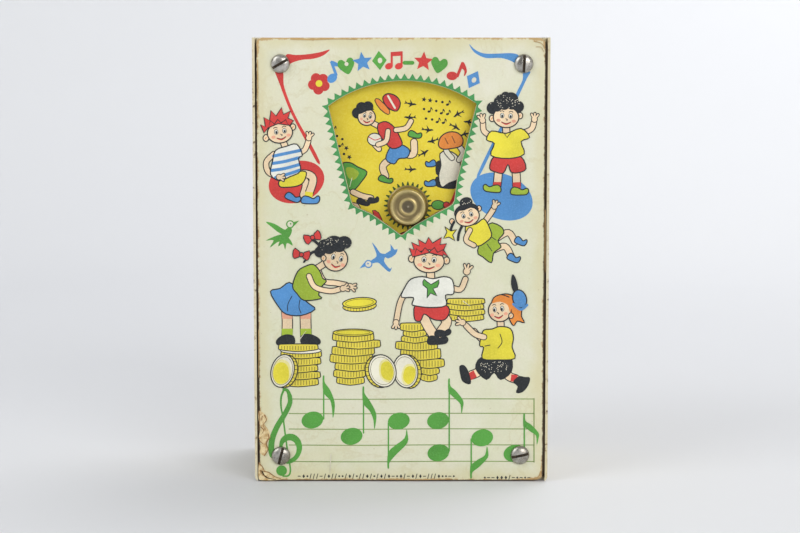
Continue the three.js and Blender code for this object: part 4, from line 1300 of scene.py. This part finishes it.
A.fill("black", oval(466.4, 211.6, 12.6, 8.2, -16, 24), smooth=False)
A.speckle("fade", 466, 203, 5.2, 4.2, 9, 23)
A.face(467.4, 216.4, 12.0, 9.6, -15, 0.1)
A.fill("black", [(455.4, 214), (458.6, 207.6), (466, 204.4), (474, 204.6), (478, 209.2), (470.6, 207.6), (464, 210.4), (459.4, 210.8)], n=2)

# green and blue birds
A.begin(0)
A.fill("green", [(265.8, 221.8), (275, 224), (284, 229.4), (290.4, 230.4), (287.4, 235.4), (280, 233.4), (272.4, 227.6)], n=3)
A.fill("green", [(289.4, 226.6), (292, 230.6), (289, 237.4), (282.4, 241.6), (279.4, 238.4), (282.6, 232.8)], n=3)
A.fill("green", [(282.4, 234.6), (275, 236.2), (265.8, 240.6), (273.6, 240.2), (269.8, 247.6), (277.4, 242.2), (283, 240.4)], n=3)
A.fill("green", [(281.4, 238.6), (278.2, 246.4), (283, 243.6), (285.2, 249.6), (287, 243), (292.8, 245.6), (288.8, 238)], n=3)
A.oval("fade", 290.2, 224.2, 3.5, 3.5, 0, 1.2, edge="green")
A.fill("green", [(293, 222.2), (299.2, 220.6), (294, 226)], smooth=False)
A.ell("green", 290.6, 223.8, 0.8)
A.begin(0)
A.fill("blue", [(372, 242.4), (376.4, 247.4), (380.4, 253), (386, 254.6), (384, 261), (389.6, 268.6), (392, 267), (389.4, 272), (383, 267), (378, 262.6), (372, 263.4), (371, 260.6), (376.4, 256.4), (375, 250)], n=3)
A.fill("blue", [(384, 254.6), (390.6, 250.4), (390.4, 244), (394.4, 249.6), (397.6, 249), (395.4, 254.4), (388, 258.6)], n=2)
A.oval("fade", 368.4, 264, 3.5, 3.5, 0, 1.2, edge="blue")
A.fill("blue", [(365.6, 266.4), (359.6, 268.4), (364.4, 262.4)], smooth=False)
A.ell("blue", 368, 263.6, 0.8)


# coins
def slab(A, x0, x1, y0, y1, ticks=True):
    b = min(2.4, (y1 - y0) * 0.34)
    pts = [(x0, y0 + 1.2), (x0 + 2, y0 + 0.1), ((x0 + x1) / 2, y0 - 0.1), (x1 - 2, y0 + 0.1), (x1, y0 + 1.2), (x1 + 0.4, (y0 + y1) / 2),
           (x1 - 0.2, y1 - 1.4), (x1 - (x1 - x0) * 0.2, y1 - 0.2), ((x0 + x1) / 2, y1 + b * 0.35), (x0 + (x1 - x0) * 0.2, y1 - 0.2), (x0 + 0.2, y1 - 1.4), (x0 - 0.4, (y0 + y1) / 2)]
    A.fill("gold", pts, n=2)
    if ticks:
        n = int((x1 - x0) / 2.7)
        for k in range(1, n):
            x = x0 + (x1 - x0) * k / n
            e = abs(2 * k / n - 1)
            A.k -= 0
            A.line("seam", [(x, y0 + 2.0), (x, y1 - 0.9 - 0.8 * e)], 0.55, smooth=False)
            A.k -= 1
        A.k += 1
    A.line("black", catmull(pts, 2), 0.95, smooth=False, closed=True)


def leaning(A, cx, cy, rx, ry, rot, side, shade):
    """A coin stood on its rim, its edge showing on one side, with a yellow shade on its pale face."""
    dx, dy, ka, kb = shade
    q = A.placed(cx, cy, rot)
    o = oval(cx + side * 3.4, cy + 0.6, rx, ry, rot, 30)
    A.fill("gold", o, smooth=False)
    A.line("black", o, 1.0, smooth=False, closed=True)
    for k in range(-5, 6):
        a = RAD(k * 15)
        x, y = q(side * rx * math.cos(a), ry * math.sin(a))
        A.line("black", [(x, y), (x + side * 3.2, y + 0.5)], 0.55, smooth=False)
        A.k -= 1
    A.k += 1
    A.oval("cream", cx, cy, rx, ry, rot, 1.05, 34)
    for tone, big in (("butter", 1.24), ("yellow", 1.0)):
        patch = []
        for t in range(0, 360, 9):
            px, py = dx + big * ka * math.cos(RAD(t)) * (1 + 0.06 * math.sin(RAD(3 * t))), dy + big * kb * math.sin(RAD(t))
            lim = (0.8 if tone == "yellow" else 0.84) / max(1e-6, math.hypot(px, py))
            patch.append(q(rx * px * min(1, lim), ry * py * min(1, lim)))
        A.fill(tone, patch, smooth=False)
    A.line("seam", oval(cx, cy, rx * 0.86, ry * 0.86, rot, 30), 0.45, smooth=False, closed=True)


A.begin(0)
for x0, x1, y0, y1 in ((278, 318, 378.6, 386), (276.4, 320, 371.6, 379), (279.4, 317.4, 364.8, 372), (277, 320.4, 357.6, 365.2), (281.4, 321, 350.4, 358)):
    A.begin(int((386 - y1) / 1.2))
    slab(A, x0, x1, y0, y1)
A.begin(32)
A.oval("cream", 301, 350.6, 20.4, 3.2, 0, 0.9)
slab(A, 279, 317.6, 344, 350.8)
leaning(A, 282.6, 370.8, 11.4, 16.6, 14, 1, (-0.14, 0.24, 0.8, 0.74))
A.begin(0)
for i, (x0, x1, y0, y1) in enumerate(((337, 364, 377, 384.4), (334, 365, 369.8, 377.8), (335.4, 370, 362.8, 370.6), (330.4, 372.4, 354, 363.2), (332.4, 374, 346.4, 355.4),
                                      (337, 380, 340, 348.2), (333, 373.4, 332.8, 341.4))):
    A.begin(i * 4)
    slab(A, x0, x1, y0, y1)
A.oval("yellow", 353.2, 332.6, 20.2, 3.6, 0, 0.95)
A.line("seam", oval(353.2, 332.4, 16.8, 2.3, 0, 26), 0.5, smooth=False, closed=True)
A.begin(0)
o = oval(359.6, 306.4, 16.8, 5.0, -4, 30)
A.fill("gold", o, smooth=False)
A.line("black", o, 1.0, smooth=False, closed=True)
for k in range(-5, 6):
    A.line("seam", [(359.5 + k * 2.9, 306.5 + 1.2 * (1 - (k / 6) ** 2)), (359.5 + k * 2.9, 308.6 + 2.6 * (1 - (k / 6) ** 2))], 0.5, smooth=False)
    A.k -= 1
A.k += 1
A.oval("yellow", 359.5, 302.8, 17.0, 5.2, -4, 1.0)
A.line("seam", oval(359.5, 302.8, 14.0, 3.7, -4, 26), 0.5, smooth=False, closed=True)
A.begin(0)
for i, (x0, x1, y0, y1) in enumerate(((421, 437, 374, 381), (421, 439, 367.6, 374.6), (414.4, 444, 358.8, 367.6), (401, 440.4, 348.6, 359.4), (396, 437, 341.4, 350), (401.6, 428, 335.8, 342.4),
                                      (403.6, 426, 330.2, 336.8), (400.4, 423.4, 323, 331))):
    A.begin(i * 4)
    slab(A, x0, x1, y0, y1)
A.begin(36)
leaning(A, 405.6, 371, 12.2, 16.8, -8, 1, (0.34, 0.3, 0.6, 0.56))
leaning(A, 382.4, 370.8, 13.4, 16.4, -20, -1, (0.4, 0.12, 0.56, 0.6))

# girl dropping a coin
A.begin(20)
A.limb([(286.6, 308), (287.4, 322), (287, 336)], 9.4)
A.limb([(305.4, 308), (305.6, 322), (306, 336)], 9.8)
A.fill("pink", [(281.8, 312), (292.6, 312), (292.4, 318.8), (282.2, 318.8)], smooth=False)
A.fill("pink", [(300.2, 312), (310.8, 312), (310.8, 318.8), (300.4, 318.8)], smooth=False)
A.fill("lime", [(281.6, 328.6), (292.8, 328.6), (292.6, 335.8), (281.8, 335.8)], smooth=False)
A.fill("lime", [(300.4, 328.6), (311.4, 328.6), (311.4, 335.8), (300.6, 335.8)], smooth=False)
A.shape("black", [(294.4, 343.6), (293.6, 336.4), (287, 334.6), (281, 336.4), (276.6, 340.6), (277.6, 344.8), (286, 345.6)], 0.8, n=3)
A.shape("black", [(301.4, 343.4), (301.4, 336), (307, 334), (313.4, 335.4), (319.6, 339.4), (319.4, 344), (310, 344.8)], 0.8, n=3)
A.shape("blue", [(289.4, 282.4), (298, 290), (304.6, 299.8), (309.6, 304), (315, 309.4), (301.4, 315.4), (286, 314), (277.4, 305), (270.4, 291.4), (280, 288.4)], n=3)
A.line("black", [(292, 296), (288, 304), (287.6, 311)], 0.8)
A.line("black", [(300, 300), (299, 307), (301, 313)], 0.8)
A.limb([(318, 270), (324, 281), (336, 283), (346, 285)], 4.6)
A.hand(350, 286.4, 18, 2.7)
A.limb([(330, 260), (313, 271)], 5.6)
A.shape("lime", [(297.6, 271.6), (306, 266), (313.8, 264.6), (320, 271.4), (322.6, 278), (326.4, 281), (321.4, 287), (318.6, 294.8), (321.4, 298.4), (304.4, 300.4), (297, 293.4), (292.6, 286)], n=3)
A.limb([(309, 276), (315, 287), (330, 291), (340, 289)], 4.4)
A.hand(343, 288.4, -8, 2.6)
for x, y, rx, ry in ((325.4, 247, 8.2, 8.0), (334, 243, 9.2, 7.4), (344.2, 242.6, 7.6, 6.6), (319.6, 252, 5.4, 5.4)):
    A.ell("black", x, y, rx, ry, 0, 18)
A.speckle("fade", 334, 245, 17, 7.6, 60, 9)
A.face(335.4, 259, 12.2, 12.0, 14, 0.5)
for x, y, rx, ry in ((328.6, 249.4, 6.2, 4.6), (338, 247.6, 7.0, 4.4)):
    A.ell("black", x, y, rx, ry, 10, 16)
A.ear(323.6, 258, 3.0)
A.line("black", [(319, 252), (313, 252), (308, 257), (304, 262)], 3.0, w2=1.8)
A.line("black", [(320, 246), (316, 242), (313, 240)], 2.6)
for bx, by, br in ((312.6, 237.4, -20), (301.4, 254.6, 10)):
    q = A.placed(bx, by, br)
    A.shape("red", [q(0, 0), q(-7.4, -5.4), q(-8.6, 0.6), q(-6.2, 5.0)], 0.9, n=2)
    A.shape("red", [q(0, 0), q(7.2, -5.2), q(8.6, 0.2), q(6.4, 4.8)], 0.9, n=2)
    A.oval("red", bx, by, 2.2, 2.2, 0, 0.9, 12)

# seated boy
A.begin(38)
A.limb([(438, 314), (447, 321), (440, 333)], 8.6)
A.limb([(422, 314), (428, 326), (436, 338)], 9.0)
A.shoe("black", (428.6, 344.4), (447.6, 343), 8.4, 1.0)
A.shoe("black", (436, 337), (451, 334), 6.6, 1.0)
A.shape("red", [(415.4, 304.8), (430, 306.4), (444.8, 304.6), (449.6, 311), (445, 319.4), (436, 320), (430, 317.6), (424, 314), (420.4, 321), (414.6, 319)], n=3)
A.limb([(406, 291), (400, 303), (396.6, 320)], 4.8)
A.hand(396, 322.4, 95, 2.6)
A.limb([(448, 286), (460, 289.4), (465.4, 279)], 4.8)
A.hand(466.8, 271.4, -70, 3.1)
A.limb([(430, 266), (431, 282)], 7.0)
A.shape("white", [(411, 279), (422, 276.6), (433, 278.6), (444, 276.6), (452.4, 280), (453.6, 293.6), (445.4, 295), (446, 305.4), (430, 307.4), (416, 305.8), (412, 304), (413.4, 297.4), (401.4, 297), (405, 287)], n=3)
A.shape("green", [(424, 279), (431, 284.4), (439, 279.6), (437.4, 287), (433, 288.6), (437, 296), (430.6, 293), (427, 298), (427.4, 288.6), (423, 285)], 0.9, n=2)
A.ear(411.6, 258.6, 3.6)
A.ear(446.6, 260.4, 3.6)
spiky(A, "red", [(412.6, 257), (409.4, 248), (414.4, 250), (411.6, 242.4), (419.4, 246), (418.4, 239.6), (425.6, 243.6), (428.6, 237.4), (432.6, 243),
                 (441.6, 237.4), (440, 244.6), (446.4, 243.6), (443.6, 250), (448, 256), (440, 253), (424, 251)])
A.face(429, 261.2, 15.2, 11.4, 2, 0.0)
spiky(A, "red", [(414.6, 256.4), (416.4, 248.6), (421.4, 252.4), (425, 247.6), (429.4, 251.8), (434.4, 247.4), (437.4, 252.4), (443, 249.6), (443, 256), (429, 252.6)])

# boy carrying coins
A.begin(8)
A.limb([(484, 364), (478, 372), (471.4, 375)], 7.6)
A.limb([(503, 368), (508.6, 376), (516, 379)], 7.6)
A.fill("red", [(473.6, 370.4), (476.8, 376.8), (470.4, 380.6), (467, 374)], smooth=False)
A.fill("red", [(511.4, 374.4), (517.4, 375), (518.4, 382.4), (510.4, 381.2)], smooth=False)
A.shape("black", [(470.4, 383.6), (469, 374), (464.6, 366), (459.8, 366.4), (460.6, 374.4), (463, 381.4)], 0.8, n=3)
A.shape("black", [(513.6, 381.6), (519, 376.6), (524.6, 377.4), (529.6, 378), (528, 385), (522.6, 391.6), (516.4, 392.4), (518, 386.4)], 0.8, n=3)
A.shape("black", [(480.8, 357.6), (495, 359.6), (510.6, 357.8), (511.4, 371.6), (500.6, 379.6), (494, 372.6), (486.4, 379.6), (475.6, 368.6)], 0.8, n=3)
A.speckle("fade", 494, 366.4, 14.6, 7.0, 52, 17)
A.limb([(505, 332), (497, 343), (484, 341), (474, 331)], 4.6)
for i, y in enumerate((314.6, 309.2, 303.8, 298.4)):
    slab(A, 446 + (i % 2) * 1.4, 483.4 + (i % 2) * 1.0, y, y + 6.2)
A.limb([(500.4, 316), (500.8, 331)], 6.0)
A.shape("yellow", [(484, 330), (492, 329), (500, 326.4), (510.4, 328.6), (513.4, 338), (512, 347), (514.8, 358.4), (498, 359.8), (482.4, 358.6), (483.6, 347.4), (479.6, 345.6), (481.4, 336)], n=3)
A.limb([(484, 337), (475, 334), (466, 325.4)], 4.8)
A.hand(462.6, 322.4, 200, 2.8)
A.line("black", [(500, 334), (502, 342), (498, 348)], 0.8)
A.line("black", [(485, 346), (490, 345)], 0.8)
A.shape("orange", [(500, 295.4), (508, 294), (515.6, 297.6), (521.6, 306), (521.4, 316), (524.4, 322.6), (517.4, 321), (513.4, 325.6), (509, 318), (508, 309), (500, 303.4)], n=3)
A.face(499.8, 310.4, 11.4, 11.2, -6, -0.5)
A.fill("orange", [(491.4, 303), (494, 297.4), (501, 294.6), (509, 297), (512.4, 304), (510, 312), (507.6, 305), (500, 301.6)], n=3)
A.line("black", [(491.4, 303), (494, 297.4), (501, 294.6), (509, 297)], 1.0)
A.ear(511, 315.6, 2.8)
A.shape("black", [(514, 291.6), (511.4, 284), (512.6, 274.6), (516, 280), (517.8, 290)], 0.7, n=3)
A.shape("blue", oval(519.6, 298.8, 6.8, 9.2, -18, 16), n=2)
A.line("blue", [(513.4, 304), (520.6, 309.4), (527, 305)], 2.6)

# staff and its notes
A.begin(0)
for y in (399, 413.5, 429, 445, 461.5):
    A.line("staff", [(289, y), (360, y + 0.3), (450, y - 0.2), (534, y)], 0.95)
    A.k = 0
A.line("staff", [(534, 398.6), (534, 462)], 1.2, smooth=False)
A.begin(3)
for ni, ((hx, hy), (sx, s0, s1), fl) in enumerate((((312.4, 420), (323.7, 376, 419), ((335, 418), 1)), ((351.6, 436.3), (363.5, 387, 433), ((376.4, 429), 1)),
                                  ((398.8, 421), (388.4, 468, 423), ((408, 430), -1)), ((438, 420.6), (449.2, 379, 419), ((463.5, 413.6), 1)),
                                  ((438.4, 452.7), (449.2, 400, 451), None), ((482.2, 437.8), (471.2, 478, 439), ((488.4, 447), -1)),
                                  ((514.5, 453.3), (524.3, 414, 451), ((539, 444.6), 1)))):
    A.k = 3 + 4 * ni
    A.ell("green", hx, hy, 11.0, 8.4, -12, 30)
    A.line("green", [(sx, s0), (sx, s1)], 1.4, smooth=False)
    if fl:
        (fx, fy), d = fl
        if d > 0:
            A.fill("green", [(sx - 0.8, s0 - 0.6), (sx + 1.4, s0 + 7), (sx + 6.6, s0 + (fy - s0) * 0.34), (fx - 0.4, s0 + (fy - s0) * 0.62), (fx - 0.6, fy - 6), (fx - 2.2, fy),
                             (fx - 3.0, fy - 9), (sx + 6.4, s0 + (fy - s0) * 0.58), (sx + 1.0, s0 + (fy - s0) * 0.44), (sx - 1.0, s0 + 12)], n=3)
        else:
            A.fill("green", [(sx - 0.8, s0 + 0.6), (sx + 1.4, s0 - 6), (sx + 8, s0 + (fy - s0) * 0.36), (fx - 0.6, s0 + (fy - s0) * 0.66), (fx - 0.4, fy + 4), (fx - 1.6, fy - 0.6),
                             (fx - 3.4, fy + 8), (sx + 7, s0 + (fy - s0) * 0.6), (sx + 1.0, s0 + (fy - s0) * 0.46), (sx - 1.0, s0 - 11)], n=3)
# clef: a straight stem, a leaf-shaped loop, a swelling curve down to the curl and a ball at the foot
A.begin(2)
A.line("green", [(283.4, 420), (286, 440), (288.6, 458), (290.4, 470), (288.4, 475.6), (283, 476)], 1.6, n=5)
A.line("green", [(284, 420), (281.2, 408), (281.2, 397), (284, 389.6)], 1.5, w2=2.2)
A.line("green", [(283.6, 389.4), (287.4, 390.6), (290, 396.4)], 2.4, w2=4.2)
A.line("green", [(289.4, 395), (290, 402.6), (285.4, 413), (278, 425), (272.8, 437), (271.2, 448), (272.6, 455)], 4.4, w2=6.4)
A.fill("green", [(270.4, 452), (274.4, 449.6), (277.6, 455.6), (283.4, 459.4), (290, 459), (295.2, 454.6), (296.6, 447.6), (293.6, 441.8), (288.4, 440.4), (283.6, 443.6), (282.4, 449.4), (284.8, 454),
                 (281.6, 452.4), (279.2, 446.4), (281, 438.6), (287, 434), (294.6, 434.6), (300.6, 440.4), (302, 449.4), (298, 458.4), (290.6, 463.4), (281.6, 463), (274, 459)], n=3)
A.ell("green", 281.6, 470.6, 5.4, 5.2)

# rows of tiny marks along the foot
A.begin(0)
mr = random.Random(7)


def marks(x0, x1, y, h):
    x = x0
    while x < x1:
        A.k = 0
        kind = mr.randrange(4)
        if kind == 0:
            A.line("black", [(x, y + h * 0.5), (x + 1.2, y - h * 0.5)], 0.75, smooth=False)
            x += 3.3
        elif kind == 1:
            A.fill("black", [(x, y), (x + 1.3, y - h * 0.42), (x + 2.6, y), (x + 1.3, y + h * 0.42)], smooth=False)
            x += 4.2
        elif kind == 2:
            A.line("black", [(x, y), (x + 2.4, y)], 0.8, smooth=False)
            x += 4.4
        else:
            A.ell("black", x + 0.8, y, 0.95, seg=10)
            x += 3.4


marks(298, 454, 476.2, 4.6)
marks(484, 531, 477.6, 4.6)

# scuffs: a torn place low on the left, rubbed corners and light scratches
A.begin(50)
A.fill("torn", [(258.8, 411), (264, 413.6), (267.6, 419), (264.4, 424), (268.4, 430), (270.4, 437), (266.6, 443), (268.2, 449), (264.4, 455.4), (259.8, 452), (261.8, 444), (258.8, 437),
                (261, 428), (258.6, 420)], n=3)
A.fill("torn", [(258.8, 463), (261.4, 465), (263.6, 469.4), (267.4, 471.4), (271.4, 474.4), (277.4, 477), (283, 478.6), (276, 480), (262, 480), (258.6, 477.4)], n=3)
A.begin(58)
for pts in ([(259.4, 413), (263.4, 415), (264, 421), (261, 426), (259.2, 421)], [(261.6, 430), (265.6, 432), (267.6, 438), (264, 441), (261.4, 436)],
            [(260.4, 445), (264.4, 444.6), (266, 449.6), (262.6, 452.4)]):
    A.fill("torn", pts, n=3)
    A.k += 6
# painted shade: brown lines in the crevices and along the edges of the torn paper
for pts in ([(264.6, 415), (266.4, 420), (263.4, 425), (265.6, 430)], [(268.2, 434), (268.8, 438), (266, 442.6), (267, 447)], [(261, 427), (263.6, 430), (261.6, 434)],
            [(259.6, 441), (263, 443.6)], [(262.4, 416), (261, 421)], [(258.8, 463), (262.2, 466.4), (264.4, 470.6)],
            [(263.4, 471), (269, 472.4), (274.4, 476.2), (281, 478.4)], [(260.4, 470), (262.4, 474.4), (267, 476.2)], [(258.9, 411), (259.6, 420), (258.9, 431)],
            [(264.6, 455.4), (268, 449.4), (266.6, 443.4), (270.2, 437.4)]):
    A.line("umber", pts, 0.9, w2=0.35)
A.begin(50)
for p, w in (([(291, 38.9), (312, 39.4), (335, 38.8), (357, 39.3)], 1.5), ([(262, 471), (266, 477), (276, 479.6)], 1.4), ([(541, 471), (538, 477), (531, 479.4)], 1.5),
             ([(534, 41.2), (541, 43.2), (545.4, 48.6)], 0.9), ([(536, 47), (541, 47.2), (544, 52)], 0.6), ([(257.6, 60), (257.9, 92), (257.7, 118)], 0.9),
             ([(258.7, 330), (258.9, 352), (258.6, 377)], 0.9), ([(545.2, 210), (545.0, 250), (545.2, 272)], 0.8), ([(380, 479.2), (420, 479.6), (452, 479.1)], 0.9)):
    A.line("tan", p, w, w2=w * 0.4)
A.line("fade", [(331, 454), (330.4, 463), (330, 473)], 1.3, w2=0.5)
A.line("fade", [(463, 301), (470, 306)], 0.8, w2=0.3)
A.line("fade", [(352, 178), (349.6, 187)], 0.6, w2=0.3)
A.line("fade", [(300, 339), (306, 331)], 0.6, w2=0.3)

A.finish()

# ------------------------------------------------------------------ artwork on the turning disc
D = Art("disc_ink_", DISC_Y, "wheel_train", "disc_card", on_disc=True)
D.mid = (KX, KZ)


def runner(D):
    """A child running with a ball under one arm."""
    D.begin(4)
    D.limb([(392, 158), (383, 166), (385.6, 176)], 6.0)
    D.limb([(404, 154), (413.4, 154), (414, 142)], 6.0)
    D.shoe("green", (378.6, 180.6), (392, 183.6), 6.4, 1.0)
    D.shoe("green", (408.4, 136.4), (421, 138.4), 6.4, 1.2)
    D.limb([(382, 134), (374, 142), (379, 149)], 4.4)
    D.shape("blue", [(391, 146.4), (401, 144.6), (409.6, 150), (407, 157.6), (399, 158.6), (394, 164), (385.8, 159)], n=3)
    D.limb([(369, 121), (382, 128)], 4.4)
    D.shape("red", [(378, 124.4), (386, 121.6), (394, 127), (399.4, 136), (402, 145), (392, 148.6), (384, 141), (378.6, 133)], n=3)
    D.oval("cream", 374.6, 139.4, 7.0, 6.2, 0, 1.0)
    D.line("red", [(369, 137), (375, 140), (381, 138)], 0.9)
    D.limb([(388, 131), (386, 141), (378, 144.6)], 4.2)
    D.limb([(396, 130), (406, 128), (411, 121)], 4.2)
    for x, y, r in ((357.4, 113, 5.6), (361.6, 107.6, 5.6), (368, 106.6, 5.4)):
        D.ell("black", x, y, r, seg=16)
    D.face(366.6, 117, 8.8, 8.4, 10, 0.3)
    D.shape("black", [(358, 113.4), (360, 107.4), (367, 105.6), (374, 109.4), (367, 110.6), (362, 113)], 0.6, n=2)


def cap(D):
    D.begin(4)
    D.shape("red", [(383, 97), (388, 93.6), (396, 96), (400.4, 103), (397, 111), (389, 108.6), (384, 102.6)], n=3)
    D.line("cream", [(388, 96), (395, 108)], 2.0)
    D.shape("orange", [(374.8, 100.4), (379, 99), (389.4, 110), (388, 114.6), (380, 109)], 0.9, n=2)


def baker(D):
    """A baker holding up a loaf."""
    D.begin(4)
    D.fill("black", [(436, 177), (446, 176), (459, 178.6), (457, 188), (444, 188.6), (435.6, 185.4)], n=3)
    D.fill("black", [(436.6, 161.6), (444, 162), (443, 175), (436, 174)], n=3)
    D.shoe("blue", (435.6, 166), (425.8, 166.6), 6.4, 1.0)
    D.shoe("blue", (435.6, 186), (424.6, 186), 6.6, 1.0)
    D.shape("cream", [(440, 153.6), (449, 151), (458.6, 157.4), (460.4, 170), (458, 179), (449, 183), (441.6, 187), (438.6, 176), (441, 165)], n=3)
    D.limb([(452, 158), (446.4, 151), (447.6, 145)], 4.4, "cream")
    D.limb([(459, 160), (463, 153), (459.6, 146.6)], 4.4, "cream")
    D.shape("orange", [(438.4, 145), (441, 136.6), (449, 132), (458, 133), (463, 139.4), (461, 146), (451, 148.6), (442.6, 149)], n=3)
    D.line("brown", [(445, 138), (448, 144)], 0.9)
    D.line("brown", [(452, 136.4), (455, 143)], 0.9)


def sleeper(D):
    """Legs and a bench at the edge of the picture."""
    D.begin(4)
    D.shape("green", [(342, 164), (350, 162.6), (358, 167), (367, 172), (362, 181), (353, 190.6), (346, 186), (342, 176)], n=3)
    D.fill("lime", [(346, 168), (353, 168), (359, 173), (354, 180), (348, 177)], n=3)
    D.limb([(353, 192), (362, 196), (371, 198)], 5.0)
    D.shoe("black", (357, 203), (369, 206), 5.6, 1.0)
    D.shoe("black", (369, 203.4), (379, 201.4), 5.6, 1.2)
    D.shape("red", [(372.4, 210.4), (378.6, 212.6), (383, 223.4), (377, 221)], 0.8, n=2)


def ball(D):
    D.begin(4)
    D.shape("green", oval(438, 205, 6.4, 4.6, 0, 14), 0.9, n=2)
    D.oval("red", 446.4, 205, 3.2, 3.2, 0, 0.9, 14)
    D.fill("red", [(455.4, 189.6), (452, 198), (448.6, 205), (453.4, 203.6), (457, 196)], n=2)


BIRDS = [(411, 104, 20, 1), (409.5, 117.5, -10, -1), (428, 130, 15, 1), (432.5, 141, -25, -1), (458, 114, 160, 1), (469, 122, 200, 1), (455.4, 127, -160, -1), (465, 134, 175, 1),
         (411, 169.5, 10, 1), (424, 153, -20, 1)]


def birds(D, skip=()):
    for i, (x, y, r, fl) in enumerate(BIRDS):
        if i in skip:
            continue
        D.begin(2)
        D.bird("black", x, y, 0.82, r, fl)


def little_marks(D, rows, rot, seed):
    """Short rows of tiny notes, stars and dots."""
    r = random.Random(seed)
    for x, y, n in rows:
        c, s = math.cos(RAD(rot)), math.sin(RAD(rot))
        for k in range(n):
            px, py = x + c * k * 6.2, y + s * k * 6.2
            D.begin(1)
            kind = r.randrange(3)
            if kind == 0:
                D.note("black", px, py, 0.3, rot)
            elif kind == 1:
                D.star("black", px, py, 2.7, rot)
            else:
                D.ell("black", px, py, 1.3, seg=10)


def tooth_ring(D):
    """A small toothed ring printed round the knob."""
    n, r0, r1 = 28, 0.00725, 0.0085
    for k in range(n):
        a = 2 * math.pi * k / n
        h = math.pi / n * 0.62
        D.k = 0
        D.prism_xz("leaf", [[(KX + r0 * math.cos(a - h), KZ + r0 * math.sin(a - h)), (KX + r0 * math.cos(a + h), KZ + r0 * math.sin(a + h)),
                             (KX + r1 * math.cos(a + h * 0.3), KZ + r1 * math.sin(a + h * 0.3)), (KX + r1 * math.cos(a - h * 0.3), KZ + r1 * math.sin(a - h * 0.3))]])


tooth_ring(D)
runner(D)
cap(D)
baker(D)
sleeper(D)
ball(D)
birds(D)
little_marks(D, ((334, 128, 1), (337, 136, 2), (341, 145, 2), (344, 154, 2)), 30, 3)
little_marks(D, ((424, 99.5, 5), (424, 109, 5), (426, 118.6, 4)), 8, 13)
for turn, swap in ((97, {"red": "green", "blue": "red", "green": "blue"}), (216, {"red": "blue", "blue": "green"})):
    D.turn, D.swap = RAD(turn), swap
    runner(D)
    cap(D)
    little_marks(D, ((424, 99.5, 3), (424, 109, 3)), 8, 20 + turn)
D.turn, D.swap = RAD(214), {"blue": "red"}
baker(D)
D.swap = {}
for ang, r, rot in ((60, 100, 20), (78, 112, -15), (-58, 98, 30), (-76, 114, 10), (-92, 96, 160), (-112, 74, 40), (-100, 118, -30), (88, 84, 170),
                    (160, 118, 15), (196, 62, -40), (182, 122, 30), (150, 46, 80), (262, 60, 10)):
    D.turn = RAD(ang)
    D.begin(2)
    D.bird("black", 408, 207 - r, 0.82, rot, 1 if r % 4 else -1)
D.turn, D.swap = 0.0, {}
D.finish()


# ------------------------------------------------------------------ floor and light
# a round paper cove: floor, curve and wall, laid flat at the front
prof = [(0.0, 0.0), (0.12, 0.0), (0.3, 0.0), (0.62, 0.0)]
for k in range(1, 19):
    a = math.pi / 2 * k / 18
    prof.append((0.62 + 0.55 * math.sin(a), 0.55 - 0.55 * math.cos(a)))
prof += [(1.17, 0.75), (1.17, 0.95)]
SEG = 120
verts, faces = [(0.0, 0.0, 0.0)], []
for r, z in prof[1:]:
    for k in range(SEG):
        a = 2 * math.pi * k / SEG
        off = abs(math.atan2(math.sin(a), math.cos(a)))
        w = 1 - min(1.0, max(0.0, (off - RAD(118)) / RAD(30)))
        w = w * w * (3 - 2 * w)
        rr = r + (1 - w) * z * 3.2
        verts.append((rr * math.sin(a), rr * math.cos(a), z * w))
for k in range(SEG):
    faces.append((0, 1 + k, 1 + (k + 1) % SEG))
for i in range(len(prof) - 2):
    for k in range(SEG):
        a, b = 1 + i * SEG + k, 1 + i * SEG + (k + 1) % SEG
        faces.append((a, a + SEG, b + SEG, b))
sm = Mat("paper_sweep", rough=0.7, specular=0.25)
sn = sm.noise(1.2, 3, 0.5, seed=2.0)
sm.colour(sm.mix(sm.ramp(sn, 0.3, 0.7), lin((221, 222, 224)), lin((218, 219, 222))))
sm.bump(sm.noise(900, 3, 0.6, seed=4.0), 0.00002, 0.2)
sweep = new_object("paper_sweep", verts, faces, sm.m, smooth=True)

world = bpy.data.worlds.new("studio")
scene.world = world
world.use_nodes = True
bg = world.node_tree.nodes["Background"]
bg.inputs[0].default_value = (0.955, 0.975, 1.0, 1)
bg.inputs[1].default_value = 0.42


def softbox(name, loc, target, size, power, colour=(1, 1, 1)):
    d = bpy.data.lights.new(name, "AREA")
    d.shape = "RECTANGLE"
    d.size, d.size_y = size
    d.energy = power
    d.color = colour
    o = bpy.data.objects.new(name, d)
    o.location = loc
    o.rotation_euler = (Vector(target) - Vector(loc)).to_track_quat("-Z", "Y").to_euler()
    scene.collection.objects.link(o)
    return o


softbox("key", (0.52, 0.55, 1.15), (0, 0, 0.05), (0.9, 0.9), 7.1, (1.0, 0.99, 0.97))
softbox("front", (0.7, -1.4, 0.74), (0, 0, 0.1), (0.9, 0.7), 11.4, (1.0, 0.99, 0.98))
softbox("side_fill", (-0.8, -0.6, 0.8), (0, 0, 0.08), (0.7, 0.7), 4.4, (0.97, 0.985, 1.0))
softbox("sweep_light", (0.34, 0.82, 0.66), (0.2, 1.16, 0.34), (0.4, 0.4), 0.95, (0.98, 0.99, 1.0))

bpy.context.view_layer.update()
